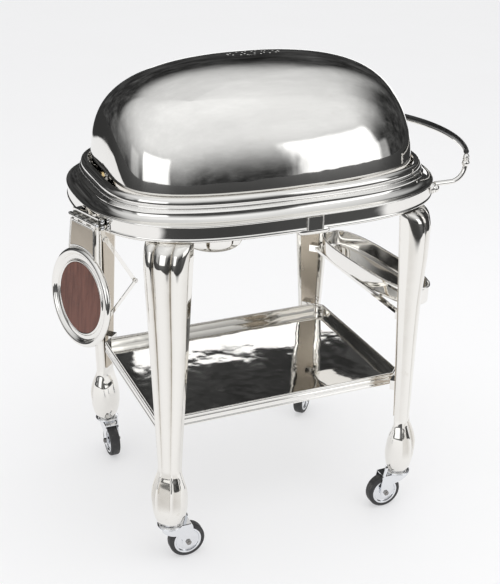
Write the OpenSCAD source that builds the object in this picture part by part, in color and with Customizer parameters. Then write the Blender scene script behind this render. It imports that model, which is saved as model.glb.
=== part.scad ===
// Carving trolley: a roll-top dome over a heated carving deck, on four fluted legs with casters.
// Millimetres. X runs along the trolley, +X is the push-handle end, -Y is the guests' side, Z is up.
// The origin is on the floor, under the middle of the overall length.

/* [Overall] */
// Deck centre along the length, from the middle of the overall length
deck_x = -15; // [-16:1:-8]
// Height of the axis that the dome turns about
axis_z = 854; // [852:1:856]

/* [Dome] */
// Outer radius of the dome across its middle
dome_r = 248; // [244:1:249]
// Half length of the dome
dome_half = 355; // [352:1:356]
// Thickness of the dome's shell
dome_wall = 3; // [2.5:0.5:4]
// Angle of the lift handle above the dome's base
lift_angle = 14; // [12:1:18]
// Radius of one vent hole
vent_r = 2.2; // [1.5:0.1:3]

/* [Rim] */
// Half length of the rim's outer oval
rim_half_x = 420; // [416:1:424]
// Half width of the rim's outer oval
rim_half_y = 302; // [300:1:304]
// Half length of the rim's opening
open_half_x = 361; // [360:0.5:363]
// Half width of the rim's opening
open_half_y = 252.5; // [252:0.5:254]
// Lowest height of the rim
rim_bottom = 784; // [782:1:786]

/* [Legs] */
// Place of a leg's foot along the length
leg_x = 300; // [298:1:302]
// Place of a leg's foot across the width
leg_y = 257; // [255:1:259]
// Height of the hoof's flat bottom
hoof_z = 100; // [99:1:101]

/* [Shelf] */
// Half length of the undershelf
shelf_half_x = 313; // [311:1:314]
// Half width of the undershelf
shelf_half_y = 218; // [216:1:219]
// Height of the underside of the shelf rail
shelf_z = 319; // [315:1:323]

/* [Casters] */
// Radius of a wheel over its tyre
wheel_r = 42.75; // [41:0.25:43]
// Width of a tyre
wheel_w = 26; // [24:1:27]
// Distance of the axle behind the swivel axis
trail = 38; // [34:1:40]

/* [Push handle] */
// Distance of a handle arm from the middle
arm_y = 203; // [200:1:205]
// Height of the level part of an arm
arm_z = 816; // [812:1:817]
// Reach of the grip at its middle
grip_reach = 510; // [505:1:515]
// Height of the grip's middle line
grip_z = 880; // [876:1:884]

/* [Plate rest] */
// Radius of the plate ring over its lip
ring_r = 110; // [107:1:112]
// Distance of the ring's centre from the hinge
ring_drop = 176; // [173:1:178]
// Lean of the hanging rest away from the trolley
rest_lean = 5.5; // [4:0.5:7]

/* [Tool tray] */
// Length of the tray across the trolley
tray_l = 420; // [400:2:424]
// Width of the tray
tray_w = 116; // [110:1:120]
// Depth of the tray
tray_h = 46; // [40:1:48]

/* [Deck] */
// Length of the water pan
pan_l = 418; // [400:2:424]
// Width of the water pan
pan_w = 298; // [280:2:304]
// Depth of the water pan
pan_h = 60; // [50:1:64]
// Radius of a gravy well
well_r = 54; // [50:1:56]

/* [Hidden] */
$fn = 64;

fit = 0.05;            // radial clearance of a running fit
gap = 0.3;             // space between pieces that pass each other

// The dome's outline |x/half|^2.3 + |r/radius|^4.2 = 1
dome_px = 2.3;
dome_pr = 4.2;
// The rim's outer oval |x/half|^3.3 + |y/half|^2.5 = 1
rim_px = 3.3;
rim_py = 2.5;
rim_steps = 64;
rim_width = rim_half_y - open_half_y;
rim_top = 866;
apron_out = 2;         // insets of the apron's two faces
apron_in = 4;
plate_z = 797;         // underside of the rim's underplate
plate_t = 4;

hub_r = 6;
bush_r = 12;
hub_plate_x = open_half_x + 2.5;
hub_plate_t = 5;
deck_half = 340;
deck_r = 236;
deck_top = axis_z - 8;
deck_t = 4;
pan_x = -75;
well_x = 215;
well_y = 82;
well_h = 88;

socket_r = 12.4;
stem_r = 6;
stem_top = 138;
leg_lean = atan(19 / 530);       // lean of a leg's flat inner face
face_z = 250;                    // height at which the inner face starts
face_u = -14;                    // its place there, outward from the foot's axis
leg_plate_t = 2;

shelf_chamfer = 20;
shelf_rail_h = 29;

rest_at = [-430, -110, 803];     // middle of the plate rest's hinge
rest_turn = 198;                 // direction that the rest faces
knuckles = 6;
knuckle_l = 16;
knuckle_r = 5;
rest_pin_r = 2.5;
neck_drop = 80;
neck_top = 46;
neck_low = 50;
rest_disc_r = 78;
stay_l = 130;                    // length of a stay link between its pivots
stay_t = 3;
stay_y = 52;                     // inner face of the upper link along the hinge
anchor = [-20, -35];             // fixed pivot of the stay, from the hinge
stay_rho = 232;                  // moving pivot along the rest
stay_back = 14;                  // and behind it
stay_pin_r = 2.5;

tray_z = 514;
tray_mid_x = 343;
tray_turn = 4;                   // it hangs a little askew
tray_p = 2.8;
rail_x = 292;

silver = [0.80, 0.79, 0.76];
chrome = [0.72, 0.74, 0.76];
dark = [0.13, 0.13, 0.14];

// ---- helpers ---------------------------------------------------------------------------

module at_deck() {
    translate([deck_x, 0, 0]) children();
}

function mix(a, b, q) = a + (b - a) * q;
function signed_pow(v, p) = sign(v) * pow(abs(v), p);

// Closed outline |x/half|^2.3 + |y/r|^4.2 = 1, with more points near its ends
function dome_outline(half, r, n = 40) = concat(
    [for (k = [0:n]) dome_point(half, r, 90 - 90 * cos(180 * k / n))],
    [for (k = [1:n - 1]) dome_point(half, r, 270 - 90 * cos(180 * k / n))]);
function dome_point(half, r, t) =
    [half * signed_pow(cos(t), 2 / dome_px), r * signed_pow(sin(t), 2 / dome_pr)];

// Distance from the centre to |x/a|^n + |y/b|^m = 1 in direction t, by halving an interval
function oval_reach(t, a, b, n, m, lo = 0, hi = 700, steps = 32) =
    let (r = (lo + hi) / 2)
    steps == 0 ? r
    : pow(abs(r * cos(t)) / a, n) + pow(abs(r * sin(t)) / b, m) > 1
        ? oval_reach(t, a, b, n, m, lo, r, steps - 1)
        : oval_reach(t, a, b, n, m, r, hi, steps - 1);

// A point of the rim's oval, drawn in by an inset that is measured at the front
function rim_point(inset, s) =
    let (q = inset / rim_width,
         a = mix(rim_half_x, open_half_x, q),
         b = mix(rim_half_y, open_half_y, q),
         t = atan2(b * sin(s), a * cos(s)),
         r = oval_reach(t, a, b, mix(rim_px, dome_px, q), mix(rim_py, dome_pr, q)))
    [r * cos(t), r * sin(t)];

function rim_outline(inset) = [for (k = [0:rim_steps - 1]) rim_point(inset, 360 * k / rim_steps)];

// Skin over a row of equal loops; the last loop joins the first, or both ends are capped
module skin(loops, closed = false) {
    n = len(loops);
    m = len(loops[0]);
    points = [for (loop = loops) each loop];
    last = closed ? n - 1 : n - 2;
    sides = [for (i = [0:last], j = [0:m - 1])
        let (a = i * m + j, b = i * m + (j + 1) % m,
             c = ((i + 1) % n) * m + (j + 1) % m, d = ((i + 1) % n) * m + j)
        each [[c, b, a], [d, c, a]]];
    ends = closed ? [] : [[for (j = [0:m - 1]) j], [for (j = [m - 1:-1:0]) (n - 1) * m + j]];
    polyhedron(points = points, faces = concat(sides, ends));
}

// Ring of the rim: the profile is a list of [inset, height], anticlockwise
module rim_ring(profile) {
    skin([for (k = [0:rim_steps - 1])
        let (s = 360 * k / rim_steps)
        [for (p = profile) let (q = rim_point(p[0], s)) [q[0], q[1], p[1]]]], true);
}

// Rectangle with round corners, as points
function round_rect(l, w, r, n = 8) =
    [for (c = [0:3], k = [0:n])
        let (a = 90 * c + 90 * k / n, sx = (c == 0 || c == 3) ? 1 : -1, sy = c < 2 ? 1 : -1)
        [sx * (l / 2 - r) + r * cos(a), sy * (w / 2 - r) + r * sin(a)]];

// Leg's own frame: local X points outward along the diagonal, local Y across it
module leg_place(sx, sy) {
    at_deck()
        mirror([sx < 0 ? 1 : 0, 0, 0]) mirror([0, sy < 0 ? 1 : 0, 0])
            translate([leg_x, leg_y, 0]) rotate([0, 0, 45]) children();
}

// Frame on a leg's flat inner face: local Y across it, local Z up along it, -X to the middle
module leg_face(sx, sy) {
    leg_place(sx, sy)
        translate([face_u, 0, face_z]) rotate([0, -leg_lean, 0]) children();
}

module both_ends() {
    for (m = [0, 1]) mirror([m, 0, 0]) children();
}

// ---- rim -------------------------------------------------------------------------------

module rim_apron() {
    bead_r = 5.5;
    bead_z = rim_bottom + bead_r;
    wall_top = 817.2;
    bead = [for (a = [145, 185, 225, 270, 315, 0, 50, 90])
        [bead_r + bead_r * cos(a), bead_z + bead_r * sin(a)]];
    color(silver) at_deck()
        rim_ring(concat([[apron_out, wall_top], [apron_out, bead_z + bead_r]], bead,
            [[apron_in, bead_z + bead_r], [apron_in, wall_top]]));
}

module rim_cove() {
    // Rounded edge over the apron, then a hollow curve that rises inward
    rise = 21;
    run = 26;
    start_z = 822;
    t = 3.2;
    steps = 3;
    top = [for (k = [0:steps])
        let (a = 90 * k / steps) [4 + run * sin(a), start_z + rise * (1 - cos(a))]];
    under = [for (k = [1:steps]) [top[k][0] - t * k / steps, top[k][1] - t]];
    foot = [[5, 817.2]];
    edge = [[1.4, 821.4], [0, 819.4], [1.6, 817.2]];
    color(silver) at_deck()
        rim_ring(concat(foot, under, [for (k = [steps:-1:0]) top[k]], edge));
}

module rim_moulding() {
    profile = [[30.3, 840.5], [33.5, 844], [36.5, 848], [37.5, 856], [39, 861], [42, 863.4],
        [46.4, 863.4], [rim_width, 864.6], [46.2, rim_top], [43, 867], [39.6, rim_top],
        [36.6, 862.8], [34.8, 858], [34.6, 853.6], [35, 851], [33.4, 850.4], [31.8, 848.8],
        [31.2, 846.6], [31.8, 844.6], [30.3, 843.2]];
    color(silver) at_deck() rim_ring(profile);
}

module rim_underplate() {
    outer = rim_outline(apron_in);
    color(silver) at_deck()
        difference() {
            translate([0, 0, plate_z]) linear_extrude(plate_t) polygon(outer);
            translate([0, 0, plate_z - 1])
                linear_extrude(plate_t + 2) polygon(dome_outline(open_half_x + 0.5, open_half_y + 0.5));
        }
}

module rim_sleeve() {
    sleeve_x = 18;
    sleeve_l = 40;
    swell_l = 78;
    swell_r = 10;
    t = 1.6;
    z = rim_bottom + 2;
    h = 34;
    y = -rim_half_y - 0.02;
    color(silver) at_deck() {
        translate([sleeve_x - sleeve_l / 2, y - t, z]) cube([sleeve_l, t, h]);
        intersection() {
            translate([sleeve_x - swell_l / 2 + swell_r, y + 8, rim_bottom])
                union() {
                    rotate([0, 90, 0]) cylinder(h = swell_l - 2 * swell_r, r = swell_r);
                    sphere(swell_r);
                    translate([swell_l - 2 * swell_r, 0, 0]) sphere(swell_r);
                }
            translate([sleeve_x - swell_l, y - 20, rim_bottom - 20]) cube([2 * swell_l, 40, 20]);
        }
    }
}

// ---- hubs and deck ---------------------------------------------------------------------

module hub_brackets() {
    color(silver) at_deck() both_ends()
        difference() {
            translate([hub_plate_x, -20, plate_z + plate_t])
                union() {
                    cube([hub_plate_t, 40, 40]);
                    translate([0, 8, 39]) cube([hub_plate_t, 24, 21.5]);
                    cube([28, 40, 3]);
                }
            translate([hub_plate_x - 5, 0, axis_z]) rotate([0, 90, 0]) cylinder(h = 20, r = hub_r);
            for (y = [-12, 12])
                translate([hub_plate_x + 18, y, plate_z]) cylinder(h = 12, r = 2.5, $fn = 24);
        }
}

module hub_shafts() {
    color(chrome) at_deck() both_ends()
        translate([deck_half - 7, 0, axis_z]) rotate([0, 90, 0])
            cylinder(h = hub_plate_x + hub_plate_t - deck_half + 7, r = hub_r);
}

module deck_brackets() {
    color(silver) at_deck() both_ends()
        difference() {
            union() {
                translate([deck_half, -20, deck_top - deck_t - 4]) cube([5, 40, 30]);
                translate([deck_half - 24, -20, deck_top - deck_t - 4]) cube([25, 40, 4]);
            }
            translate([deck_half - 10, 0, axis_z]) rotate([0, 90, 0]) cylinder(h = 20, r = hub_r);
            for (y = [-12, 12])
                translate([deck_half - 12, y, deck_top - 12]) cylinder(h = 12, r = 2.5, $fn = 24);
        }
}

module deck_plate() {
    color(silver) at_deck()
        difference() {
            translate([0, 0, deck_top - deck_t])
                linear_extrude(deck_t) polygon(dome_outline(deck_half, deck_r));
            translate([pan_x, 0, deck_top - 8])
                linear_extrude(12) polygon(round_rect(pan_l + 2, pan_w + 2, 21));
            for (s = [-1, 1])
                translate([well_x, s * well_y, deck_top - 8]) cylinder(h = 12, r = well_r + 0.6);
            for (m = [-1, 1], y = [-12, 12])
                translate([m * (deck_half - 12), y, deck_top - 8]) cylinder(h = 12, r = 2.5, $fn = 24);
        }
}

module water_pan() {
    wall = 1.5;
    lip = 9;
    color(silver) at_deck() translate([pan_x, 0, deck_top])
        difference() {
            union() {
                translate([0, 0, -pan_h]) linear_extrude(pan_h + 1) polygon(round_rect(pan_l, pan_w, 20));
                linear_extrude(2) polygon(round_rect(pan_l + 2 * lip, pan_w + 2 * lip, 24));
            }
            translate([0, 0, wall - pan_h])
                linear_extrude(pan_h + 4)
                    polygon(round_rect(pan_l - 2 * wall, pan_w - 2 * wall, 20 - wall));
        }
}

module carving_board() {
    l = pan_l + 12;
    w = pan_w + 12;
    t = 18;
    groove = 9;
    inset = 18;
    color([0.62, 0.44, 0.27]) at_deck() translate([pan_x, 0, deck_top + 2 + gap])
        difference() {
            linear_extrude(t) polygon(round_rect(l, w, 16));
            difference() {
                translate([0, 0, t - 4])
                    linear_extrude(6) polygon(round_rect(l - 2 * inset, w - 2 * inset, 14));
                translate([0, 0, t - 5])
                    linear_extrude(8)
                        polygon(round_rect(l - 2 * inset - 2 * groove, w - 2 * inset - 2 * groove, 6));
            }
            translate([l / 2 - inset - groove - 14, 0, t - 7]) cylinder(h = 9, r = 26);
        }
}

module gravy_wells() {
    wall = 1.5;
    color(silver) at_deck() for (s = [-1, 1])
        translate([well_x, s * well_y, deck_top])
            rotate_extrude()
                polygon([[0, -well_h], [well_r - 6, -well_h], [well_r, -well_h + 6], [well_r, 0],
                    [well_r + 8, 0], [well_r + 8, 2], [well_r - wall, 2], [well_r - wall, -well_h + 7],
                    [well_r - 7, -well_h + wall], [0, -well_h + wall]]);
}

module well_lid(s) {
    r = well_r + 7;
    color(silver) at_deck() translate([well_x, s * well_y, deck_top + 2 + gap])
        rotate_extrude()
            polygon(concat([[r, 0], [r, 1.6]],
                [for (k = [1:8]) let (a = 90 * k / 8) [9 + (r - 10) * cos(a), 2 + 11 * sin(a)]],
                [[6, 14.5], [4.25, 17]],
                [for (k = [0:8]) let (a = -60 + 150 * k / 8) [8.5 * cos(a), 26 + 8.5 * sin(a)]],
                [[0, 11.4]],
                [for (k = [8:-1:1]) let (a = 90 * k / 8) [7 + (r - 10) * cos(a), 1 + 10 * sin(a)]],
                [[r - 3, 0]]));
}

module lid_front() {
    well_lid(-1);
}

module lid_back() {
    well_lid(1);
}

// ---- burners ---------------------------------------------------------------------------

// Place along the length, lowest height, radius and depth
burner_large = [-95, 657, 74, 42];
burner_small = [150, 662, 46, 36];

module burner_dish(at) {
    r = at[2];
    h = at[3];
    t = 1.5;
    color(silver) at_deck() translate([at[0], 0, at[1]])
        rotate_extrude()
            polygon([[0, 0], [r * 0.6, 0], [r * 0.84, 5], [r * 0.95, 15], [r, h - 2], [r + 3, h - 1.4],
                [r + 3, h], [r - t, h - 0.4], [r * 0.95 - t, 16], [r * 0.84 - 0.6, 6.8], [r * 0.6, t],
                [0, t]]);
}

module burner_dishes() {
    burner_dish(burner_large);
    burner_dish(burner_small);
}

module burner_can(at) {
    r = at[2] * 0.55;
    color([0.72, 0.60, 0.38]) at_deck() translate([at[0], 0, at[1] + 1.5])
        rotate_extrude()
            polygon([[0, 0], [r, 0], [r, 20], [r - 4, 25], [13, 26], [13, 30], [10, 30], [10, 33],
                [7, 33], [7, 28], [0, 28]]);
}

module burner_cans() {
    burner_can(burner_large);
    burner_can(burner_small);
}

// A strap at one side of a burner's dish, with a turned foot at its top
module burner_strap(at, side, top) {
    r = at[2] + 3;
    t = 2.5;
    w = 16;
    foot = 14;
    low = at[1] + at[3] - 12;
    color(silver) at_deck() translate([at[0], 0, 0]) mirror([side < 0 ? 1 : 0, 0, 0]) {
        translate([r, -w / 2, low]) cube([t, w, top - low]);
        translate([r, -w / 2, top - t]) cube([foot, w, t]);
    }
}

// The small burner's outer strap reaches up past the pan to the deck plate
module burner_straps() {
    pan_bottom = deck_top - pan_h;
    for (side = [-1, 1]) burner_strap(burner_large, side, pan_bottom);
    burner_strap(burner_small, -1, pan_bottom);
    burner_strap(burner_small, 1, deck_top - deck_t);
}

// ---- legs ------------------------------------------------------------------------------

// Width across, outer face, inner face and flute depth of a leg, by height
leg_width = [[100, 50], [104, 56], [112, 63], [125, 70], [145, 76], [170, 78], [195, 73],
    [215, 62], [232, 50], [245, 46.5], [300, 48], [378, 51], [460, 55], [550, 61], [620, 66.5],
    [684, 73], [730, 82], [765, 89], [776, 90.5], [784, 91]];
leg_out = [[100, 22], [104, 26], [112, 30], [125, 33], [145, 36], [170, 36], [195, 31],
    [215, 22.5], [232, 15], [245, 13.5], [300, 11.5], [378, 9.5], [460, 8], [550, 9.2],
    [620, 13], [684, 17.5], [730, 19.5], [765, 15.5], [776, 9], [784, -1]];
leg_in = [[100, -22], [104, -25], [112, -28], [125, -31], [145, -33], [170, -31], [195, -26],
    [215, -19], [232, -14.5], [245, -13.82], [784, -33.14]];
leg_flute = [[100, 0], [225, 0.6], [250, 1.8], [300, 2.6], [400, 3.4], [550, 4.6], [700, 6], [784, 5.4]];
leg_scoop = [[100, 0], [128, 0], [145, 3.5], [170, 5], [195, 4.5], [215, 2], [232, 0], [784, 0]];
leg_square = [[100, 2], [200, 2.2], [232, 4], [260, 12], [784, 12]];
leg_mid = 0.4;
leg_round = 2.5;

// Section of a leg: three lobes between flutes outside, a flat face inside
function leg_section(z) =
    let (w = lookup(z, leg_width) / 2, uo = lookup(z, leg_out), ui = lookup(z, leg_in),
         um = mix(ui, uo, leg_mid), flute = lookup(z, leg_flute), scoop = lookup(z, leg_scoop),
         p = 2 / lookup(z, leg_square), e = 2 / leg_round)
    concat(
        [for (k = [0:16])
            let (a = -90 + 180 * k / 16, c = max(cos(a), 0),
                 cut = (flute * (1 - cos(6 * a)) / 2 + scoop * abs(cos(3 * a))) * sqrt(c))
            [um + (uo - um) * pow(c, e) - cut, w * signed_pow(sin(a), e), z]],
        [for (a = [105, 125, 150, 180, 210, 235, 255])
            [um - (um - ui) * pow(abs(cos(a)), p), w * signed_pow(sin(a), p), z]]);

module leg(sx, sy) {
    color(silver) leg_place(sx, sy)
        difference() {
            skin([for (row = leg_width) leg_section(row[0])]);
            translate([0, 0, hoof_z - 1]) cylinder(h = stem_top - hoof_z + 5, r = socket_r, $fn = 32);
        }
}

module leg_front_left() {
    leg(-1, -1);
}

module leg_front_right() {
    leg(1, -1);
}

module leg_back_left() {
    leg(-1, 1);
}

module leg_back_right() {
    leg(1, 1);
}

module leg_plates() {
    half = [[2, 19], [130, 21], [300, 26], [434, 32], [526, 38]];
    outline = concat([for (p = half) [p[1], p[0]]], [for (k = [4:-1:0]) [-half[k][1], half[k][0]]]);
    color([0.70, 0.66, 0.58]) for (sx = [-1, 1], sy = [-1, 1])
        leg_face(sx, sy) {
            translate([-leg_plate_t, 0, 0]) rotate([90, 0, 90]) linear_extrude(leg_plate_t) polygon(outline);
            for (h = [24, 506])
                translate([-leg_plate_t - 1.8, 0, h]) rotate([0, 90, 0]) cylinder(h = 2, r1 = 2.5, r2 = 4.5);
        }
}

module leg_mounts() {
    color(silver) for (sx = [-1, 1], sy = [-1, 1])
        leg_place(sx, sy)
            translate([-31, -22, rim_bottom]) cube([11, 44, plate_z - rim_bottom]);
}

// ---- undershelf ------------------------------------------------------------------------

function shelf_outline(inset) =
    let (x = shelf_half_x - inset, y = shelf_half_y - inset, c = shelf_chamfer - 0.586 * inset)
    [[x, y - c], [x - c, y], [c - x, y], [-x, y - c], [-x, c - y], [c - x, -y], [x - c, -y], [x, c - y]];

module shelf_rail() {
    z = shelf_z;
    profile = [[0, z], [14, z], [14, z + 2], [3.6, z + 2], [3.6, z + 22], [5.2, z + 23],
        [6, z + 25.5], [5.2, z + 28], [3, z + shelf_rail_h], [0.8, z + 28], [0, z + 25], [0.8, z + 22],
        [2, z + 19.5], [0.5, z + 17], [0.5, z + 13], [1.5, z + 11], [1.5, z + 6], [0, z + 4]];
    outlines = [for (p = profile) shelf_outline(p[0])];
    color(silver) at_deck()
        skin([for (k = [0:7])
            [for (j = [0:len(profile) - 1]) [outlines[j][k][0], outlines[j][k][1], profile[j][1]]]], true);
}

module shelf_tray() {
    color(silver) at_deck()
        translate([0, 0, shelf_z + 2]) linear_extrude(2) polygon(shelf_outline(3.8));
}

module shelf_brackets() {
    // Blocks between the shelf's cut corners and the legs' inner plates
    reach = 13.2;
    color(silver) for (sx = [-1, 1], sy = [-1, 1])
        leg_face(sx, sy)
            difference() {
                translate([-leg_plate_t - reach, -14, shelf_z + 3 - face_z]) cube([reach, 28, 24]);
                translate([-40, 0, shelf_z + 15 - face_z]) rotate([0, 90, 0]) cylinder(h = 60, r = 3, $fn = 24);
            }
}

// ---- casters ---------------------------------------------------------------------------

// Place and rest direction of each caster
function caster_turn(sx, sy) = sy < 0 ? (sx < 0 ? 0 : 180) : (sx < 0 ? -90 : -135);

module caster_place(sx, sy) {
    translate([deck_x + sx * leg_x, sy * leg_y, 0]) rotate([0, 0, caster_turn(sx, sy)]) children();
}

module axle_place(sx, sy) {
    caster_place(sx, sy) translate([trail, 0, wheel_r]) rotate([90, 0, 0]) children();
}

module caster_sockets() {
    color(chrome) for (sx = [-1, 1], sy = [-1, 1])
        translate([deck_x + sx * leg_x, sy * leg_y, 0])
            rotate_extrude()
                polygon([[stem_r + fit, hoof_z - 2], [21, hoof_z - 2], [21, hoof_z], [socket_r, hoof_z],
                    [socket_r, stem_top + 3], [stem_r + fit, stem_top + 3]]);
}

fork_in = wheel_w / 2 + 1.6;
fork_t = 3;
crown_z = 2 * wheel_r + 2.5;

module fork(sx, sy) {
    color(chrome) caster_place(sx, sy) {
        // Crown, race and stem
        rotate_extrude()
            polygon([[0, crown_z], [22, crown_z], [27, crown_z + 1], [31, crown_z + 5],
                [29, crown_z + 8], [16, hoof_z - 2.6], [stem_r, hoof_z - 2.6], [stem_r, stem_top],
                [stem_r - 1, stem_top + 1], [0, stem_top + 1]]);
        // Cheeks
        for (m = [0, 1]) mirror([0, m, 0])
            translate([0, fork_in + fork_t, 0]) rotate([90, 0, 0])
                difference() {
                    linear_extrude(fork_t) polygon(cheek_outline());
                    translate([trail, wheel_r, -1]) cylinder(h = fork_t + 2, r = 4);
                }
        // Bridge between the cheeks
        translate([-24, -fork_in - fork_t, crown_z]) cube([71, 2 * (fork_in + fork_t), 3]);
        // Stop lug on the far cheek
        translate([38.5, fork_in, crown_z + 2]) cube([6, fork_t, 24]);
    }
}

function cheek_outline() = concat(
    [[-24, crown_z + 3], [-25, crown_z - 2], [-16, crown_z - 12], [0, crown_z - 21], [18, crown_z - 24]],
    [for (k = [0:10]) let (a = 160 + 215 * k / 10) [trail + 14 * cos(a), wheel_r + 14 * sin(a)]],
    [[trail + 14, 60], [trail + 12, crown_z - 4], [trail + 9, crown_z + 3]]);

module tyre(sx, sy) {
    w = wheel_w / 2;
    side = [for (k = [0:6]) let (a = 90 * k / 6) [wheel_r - 6 + 6 * cos(a), w - 6 + 6 * sin(a)]];
    color(dark) axle_place(sx, sy)
        rotate_extrude()
            polygon(concat([[33, -w + 1], [36, -w]], [for (k = [6:-1:0]) [side[k][0], -side[k][1]]],
                side, [[36, w], [33, w - 1]]));
}

module wheel(sx, sy) {
    w = wheel_w / 2;
    color(chrome) axle_place(sx, sy)
        difference() {
            rotate_extrude()
                polygon([[0, -w - 1], [9, -w - 1], [11, -w + 3], [27, -w + 5], [29, -w + 0.6],
                    [33, -w + 0.6], [33, w - 0.6], [29, w - 0.6], [27, w - 5], [11, w - 3], [9, w + 1],
                    [0, w + 1]]);
            cylinder(h = 60, r = 4 + fit, center = true);
        }
}

module axles(sx, sy) {
    l = fork_in + fork_t;
    color(chrome) axle_place(sx, sy) {
        cylinder(h = 2 * l, r = 4, center = true);
        for (m = [0, 1]) mirror([0, 0, m]) translate([0, 0, l]) {
            cylinder(h = 4, r = 6.8, $fn = 6);
            translate([0, 0, 4]) cylinder(h = 1.6, r = 4);
        }
    }
}

module fork_front_left() {
    fork(-1, -1);
}

module fork_front_right() {
    fork(1, -1);
}

module fork_back_left() {
    fork(-1, 1);
}

module fork_back_right() {
    fork(1, 1);
}

module tyre_front_left() {
    tyre(-1, -1);
}

module tyre_front_right() {
    tyre(1, -1);
}

module tyre_back_left() {
    tyre(-1, 1);
}

module tyre_back_right() {
    tyre(1, 1);
}

module wheel_front_left() {
    wheel(-1, -1);
}

module wheel_front_right() {
    wheel(1, -1);
}

module wheel_back_left() {
    wheel(-1, 1);
}

module wheel_back_right() {
    wheel(1, 1);
}

module axles_front_left() {
    axles(-1, -1);
}

module axles_front_right() {
    axles(1, -1);
}

module axles_back_left() {
    axles(-1, 1);
}

module axles_back_right() {
    axles(1, 1);
}

// ---- push handle -----------------------------------------------------------------------

arm_r = 6;
bend_r = 36;
post_x = 450;
// Plan radius of the grip through both posts and its reach
grip_bow = grip_reach - post_x;
grip_plan_r = (arm_y * arm_y + grip_bow * grip_bow) / (2 * grip_bow);
grip_angle = asin(arm_y / grip_plan_r);
boss_turn = 39.4;
boss_at = [363.5, 205];
bar_drop = 7;

module handle_bosses() {
    color(silver) at_deck() for (s = [0, 1]) mirror([0, s, 0])
        difference() {
            translate([boss_at[0], boss_at[1], 808]) rotate([0, 0, boss_turn]) rotate([0, 90, 0])
                rotate_extrude()
                    polygon([[0, 0.1], [14, 0.1], [14, 4], [12.5, 6], [10, 7.5], [9.5, 11], [8, 14],
                        [5, 16], [0, 16.6]]);
            translate([360, arm_y, arm_z]) rotate([0, 90, 0]) cylinder(h = 80, r = arm_r);
        }
}

module handle_arms() {
    ball_r = 9;
    color(silver) at_deck() {
        for (s = [0, 1]) mirror([0, s, 0]) {
            translate([371, arm_y, arm_z]) rotate([0, 90, 0])
                cylinder(h = post_x - bend_r - 371, r = arm_r);
            translate([post_x - bend_r, arm_y, arm_z + bend_r]) rotate([90, 0, 0])
                rotate_extrude(angle = 90, start = -90) translate([bend_r, 0]) circle(arm_r);
            translate([post_x, arm_y, arm_z + bend_r]) {
                // Ball, collar and neck up to the bar
                rotate_extrude()
                    polygon(concat([[0, 6 - ball_r * sin(47)]],
                        [for (k = [0:8]) let (a = -47 + 95 * k / 8) [ball_r * cos(a), 6 + ball_r * sin(a)]],
                        [[5, 13.4], [7.4, 13.8], [8, 15], [7.4, 16.2], [5, 16.5], [5, 19], [0, 19]]));
            }
            translate([post_x, arm_y, grip_z - bar_drop]) sphere(arm_r);
        }
        // Bar under the grip
        translate([grip_reach - grip_plan_r, 0, grip_z - bar_drop])
            rotate_extrude(angle = 2 * grip_angle, start = -grip_angle, $fn = 180)
                translate([grip_plan_r, 0]) circle(4.6);
    }
}

module handle_grip() {
    end = 1.6;   // angle left free at each post
    color(dark) at_deck()
        translate([grip_reach - grip_plan_r, 0, grip_z])
            rotate_extrude(angle = 2 * (grip_angle - end), start = end - grip_angle, $fn = 180)
                difference() {
                    translate([grip_plan_r, 0]) circle(6.6);
                    translate([grip_plan_r, -bar_drop]) circle(4.6);
                }
}

// ---- plate rest and its folding stay ---------------------------------------------------

// Hinge frame: local X away from the trolley, local Y along the hinge towards the front
module rest_place() {
    at_deck() translate(rest_at) rotate([0, 0, rest_turn]) children();
}

// Frame that hangs from the hinge at the rest's lean
module rest_hang() {
    rest_place() rotate([0, -rest_lean, 0]) children();
}

function knuckle_y(k) = (k - knuckles / 2) * knuckle_l;

module knuckle(k) {
    translate([0, knuckle_y(k) + gap / 2, 0]) rotate([-90, 0, 0])
        cylinder(h = knuckle_l - gap, r = knuckle_r);
}

module rest_leaf() {
    lug_l = 16;
    lug_at = 37;           // place along the hinge
    color(silver)
        difference() {
            rest_place()
                difference() {
                    union() {
                        translate([-8.6, -knuckles * knuckle_l / 2, -14]) cube([3.2, knuckles * knuckle_l, 27]);
                        for (k = [0:2:knuckles - 1]) {
                            knuckle(k);
                            translate([-6, knuckle_y(k) + gap / 2, -2.4]) cube([6, knuckle_l - gap, 4.8]);
                        }
                        for (s = [-1, 1])
                            translate([-40, s * lug_at - lug_l / 2, -6.6]) cube([32, lug_l, 19]);
                    }
                    rotate([90, 0, 0]) cylinder(h = 200, r = rest_pin_r + fit, center = true);
                }
            // The lugs end on the apron's outer face
            at_deck() translate([0, 0, rim_bottom]) linear_extrude(60) polygon(rim_outline(apron_out));
        }
}

module rest_pin() {
    color(chrome) rest_place() {
        rotate([90, 0, 0]) cylinder(h = knuckles * knuckle_l + 4, r = rest_pin_r, center = true);
        for (s = [-1, 1])
            translate([0, s * (knuckles * knuckle_l / 2 + gap + 3.4), 0]) sphere(3.4);
    }
}

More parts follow.
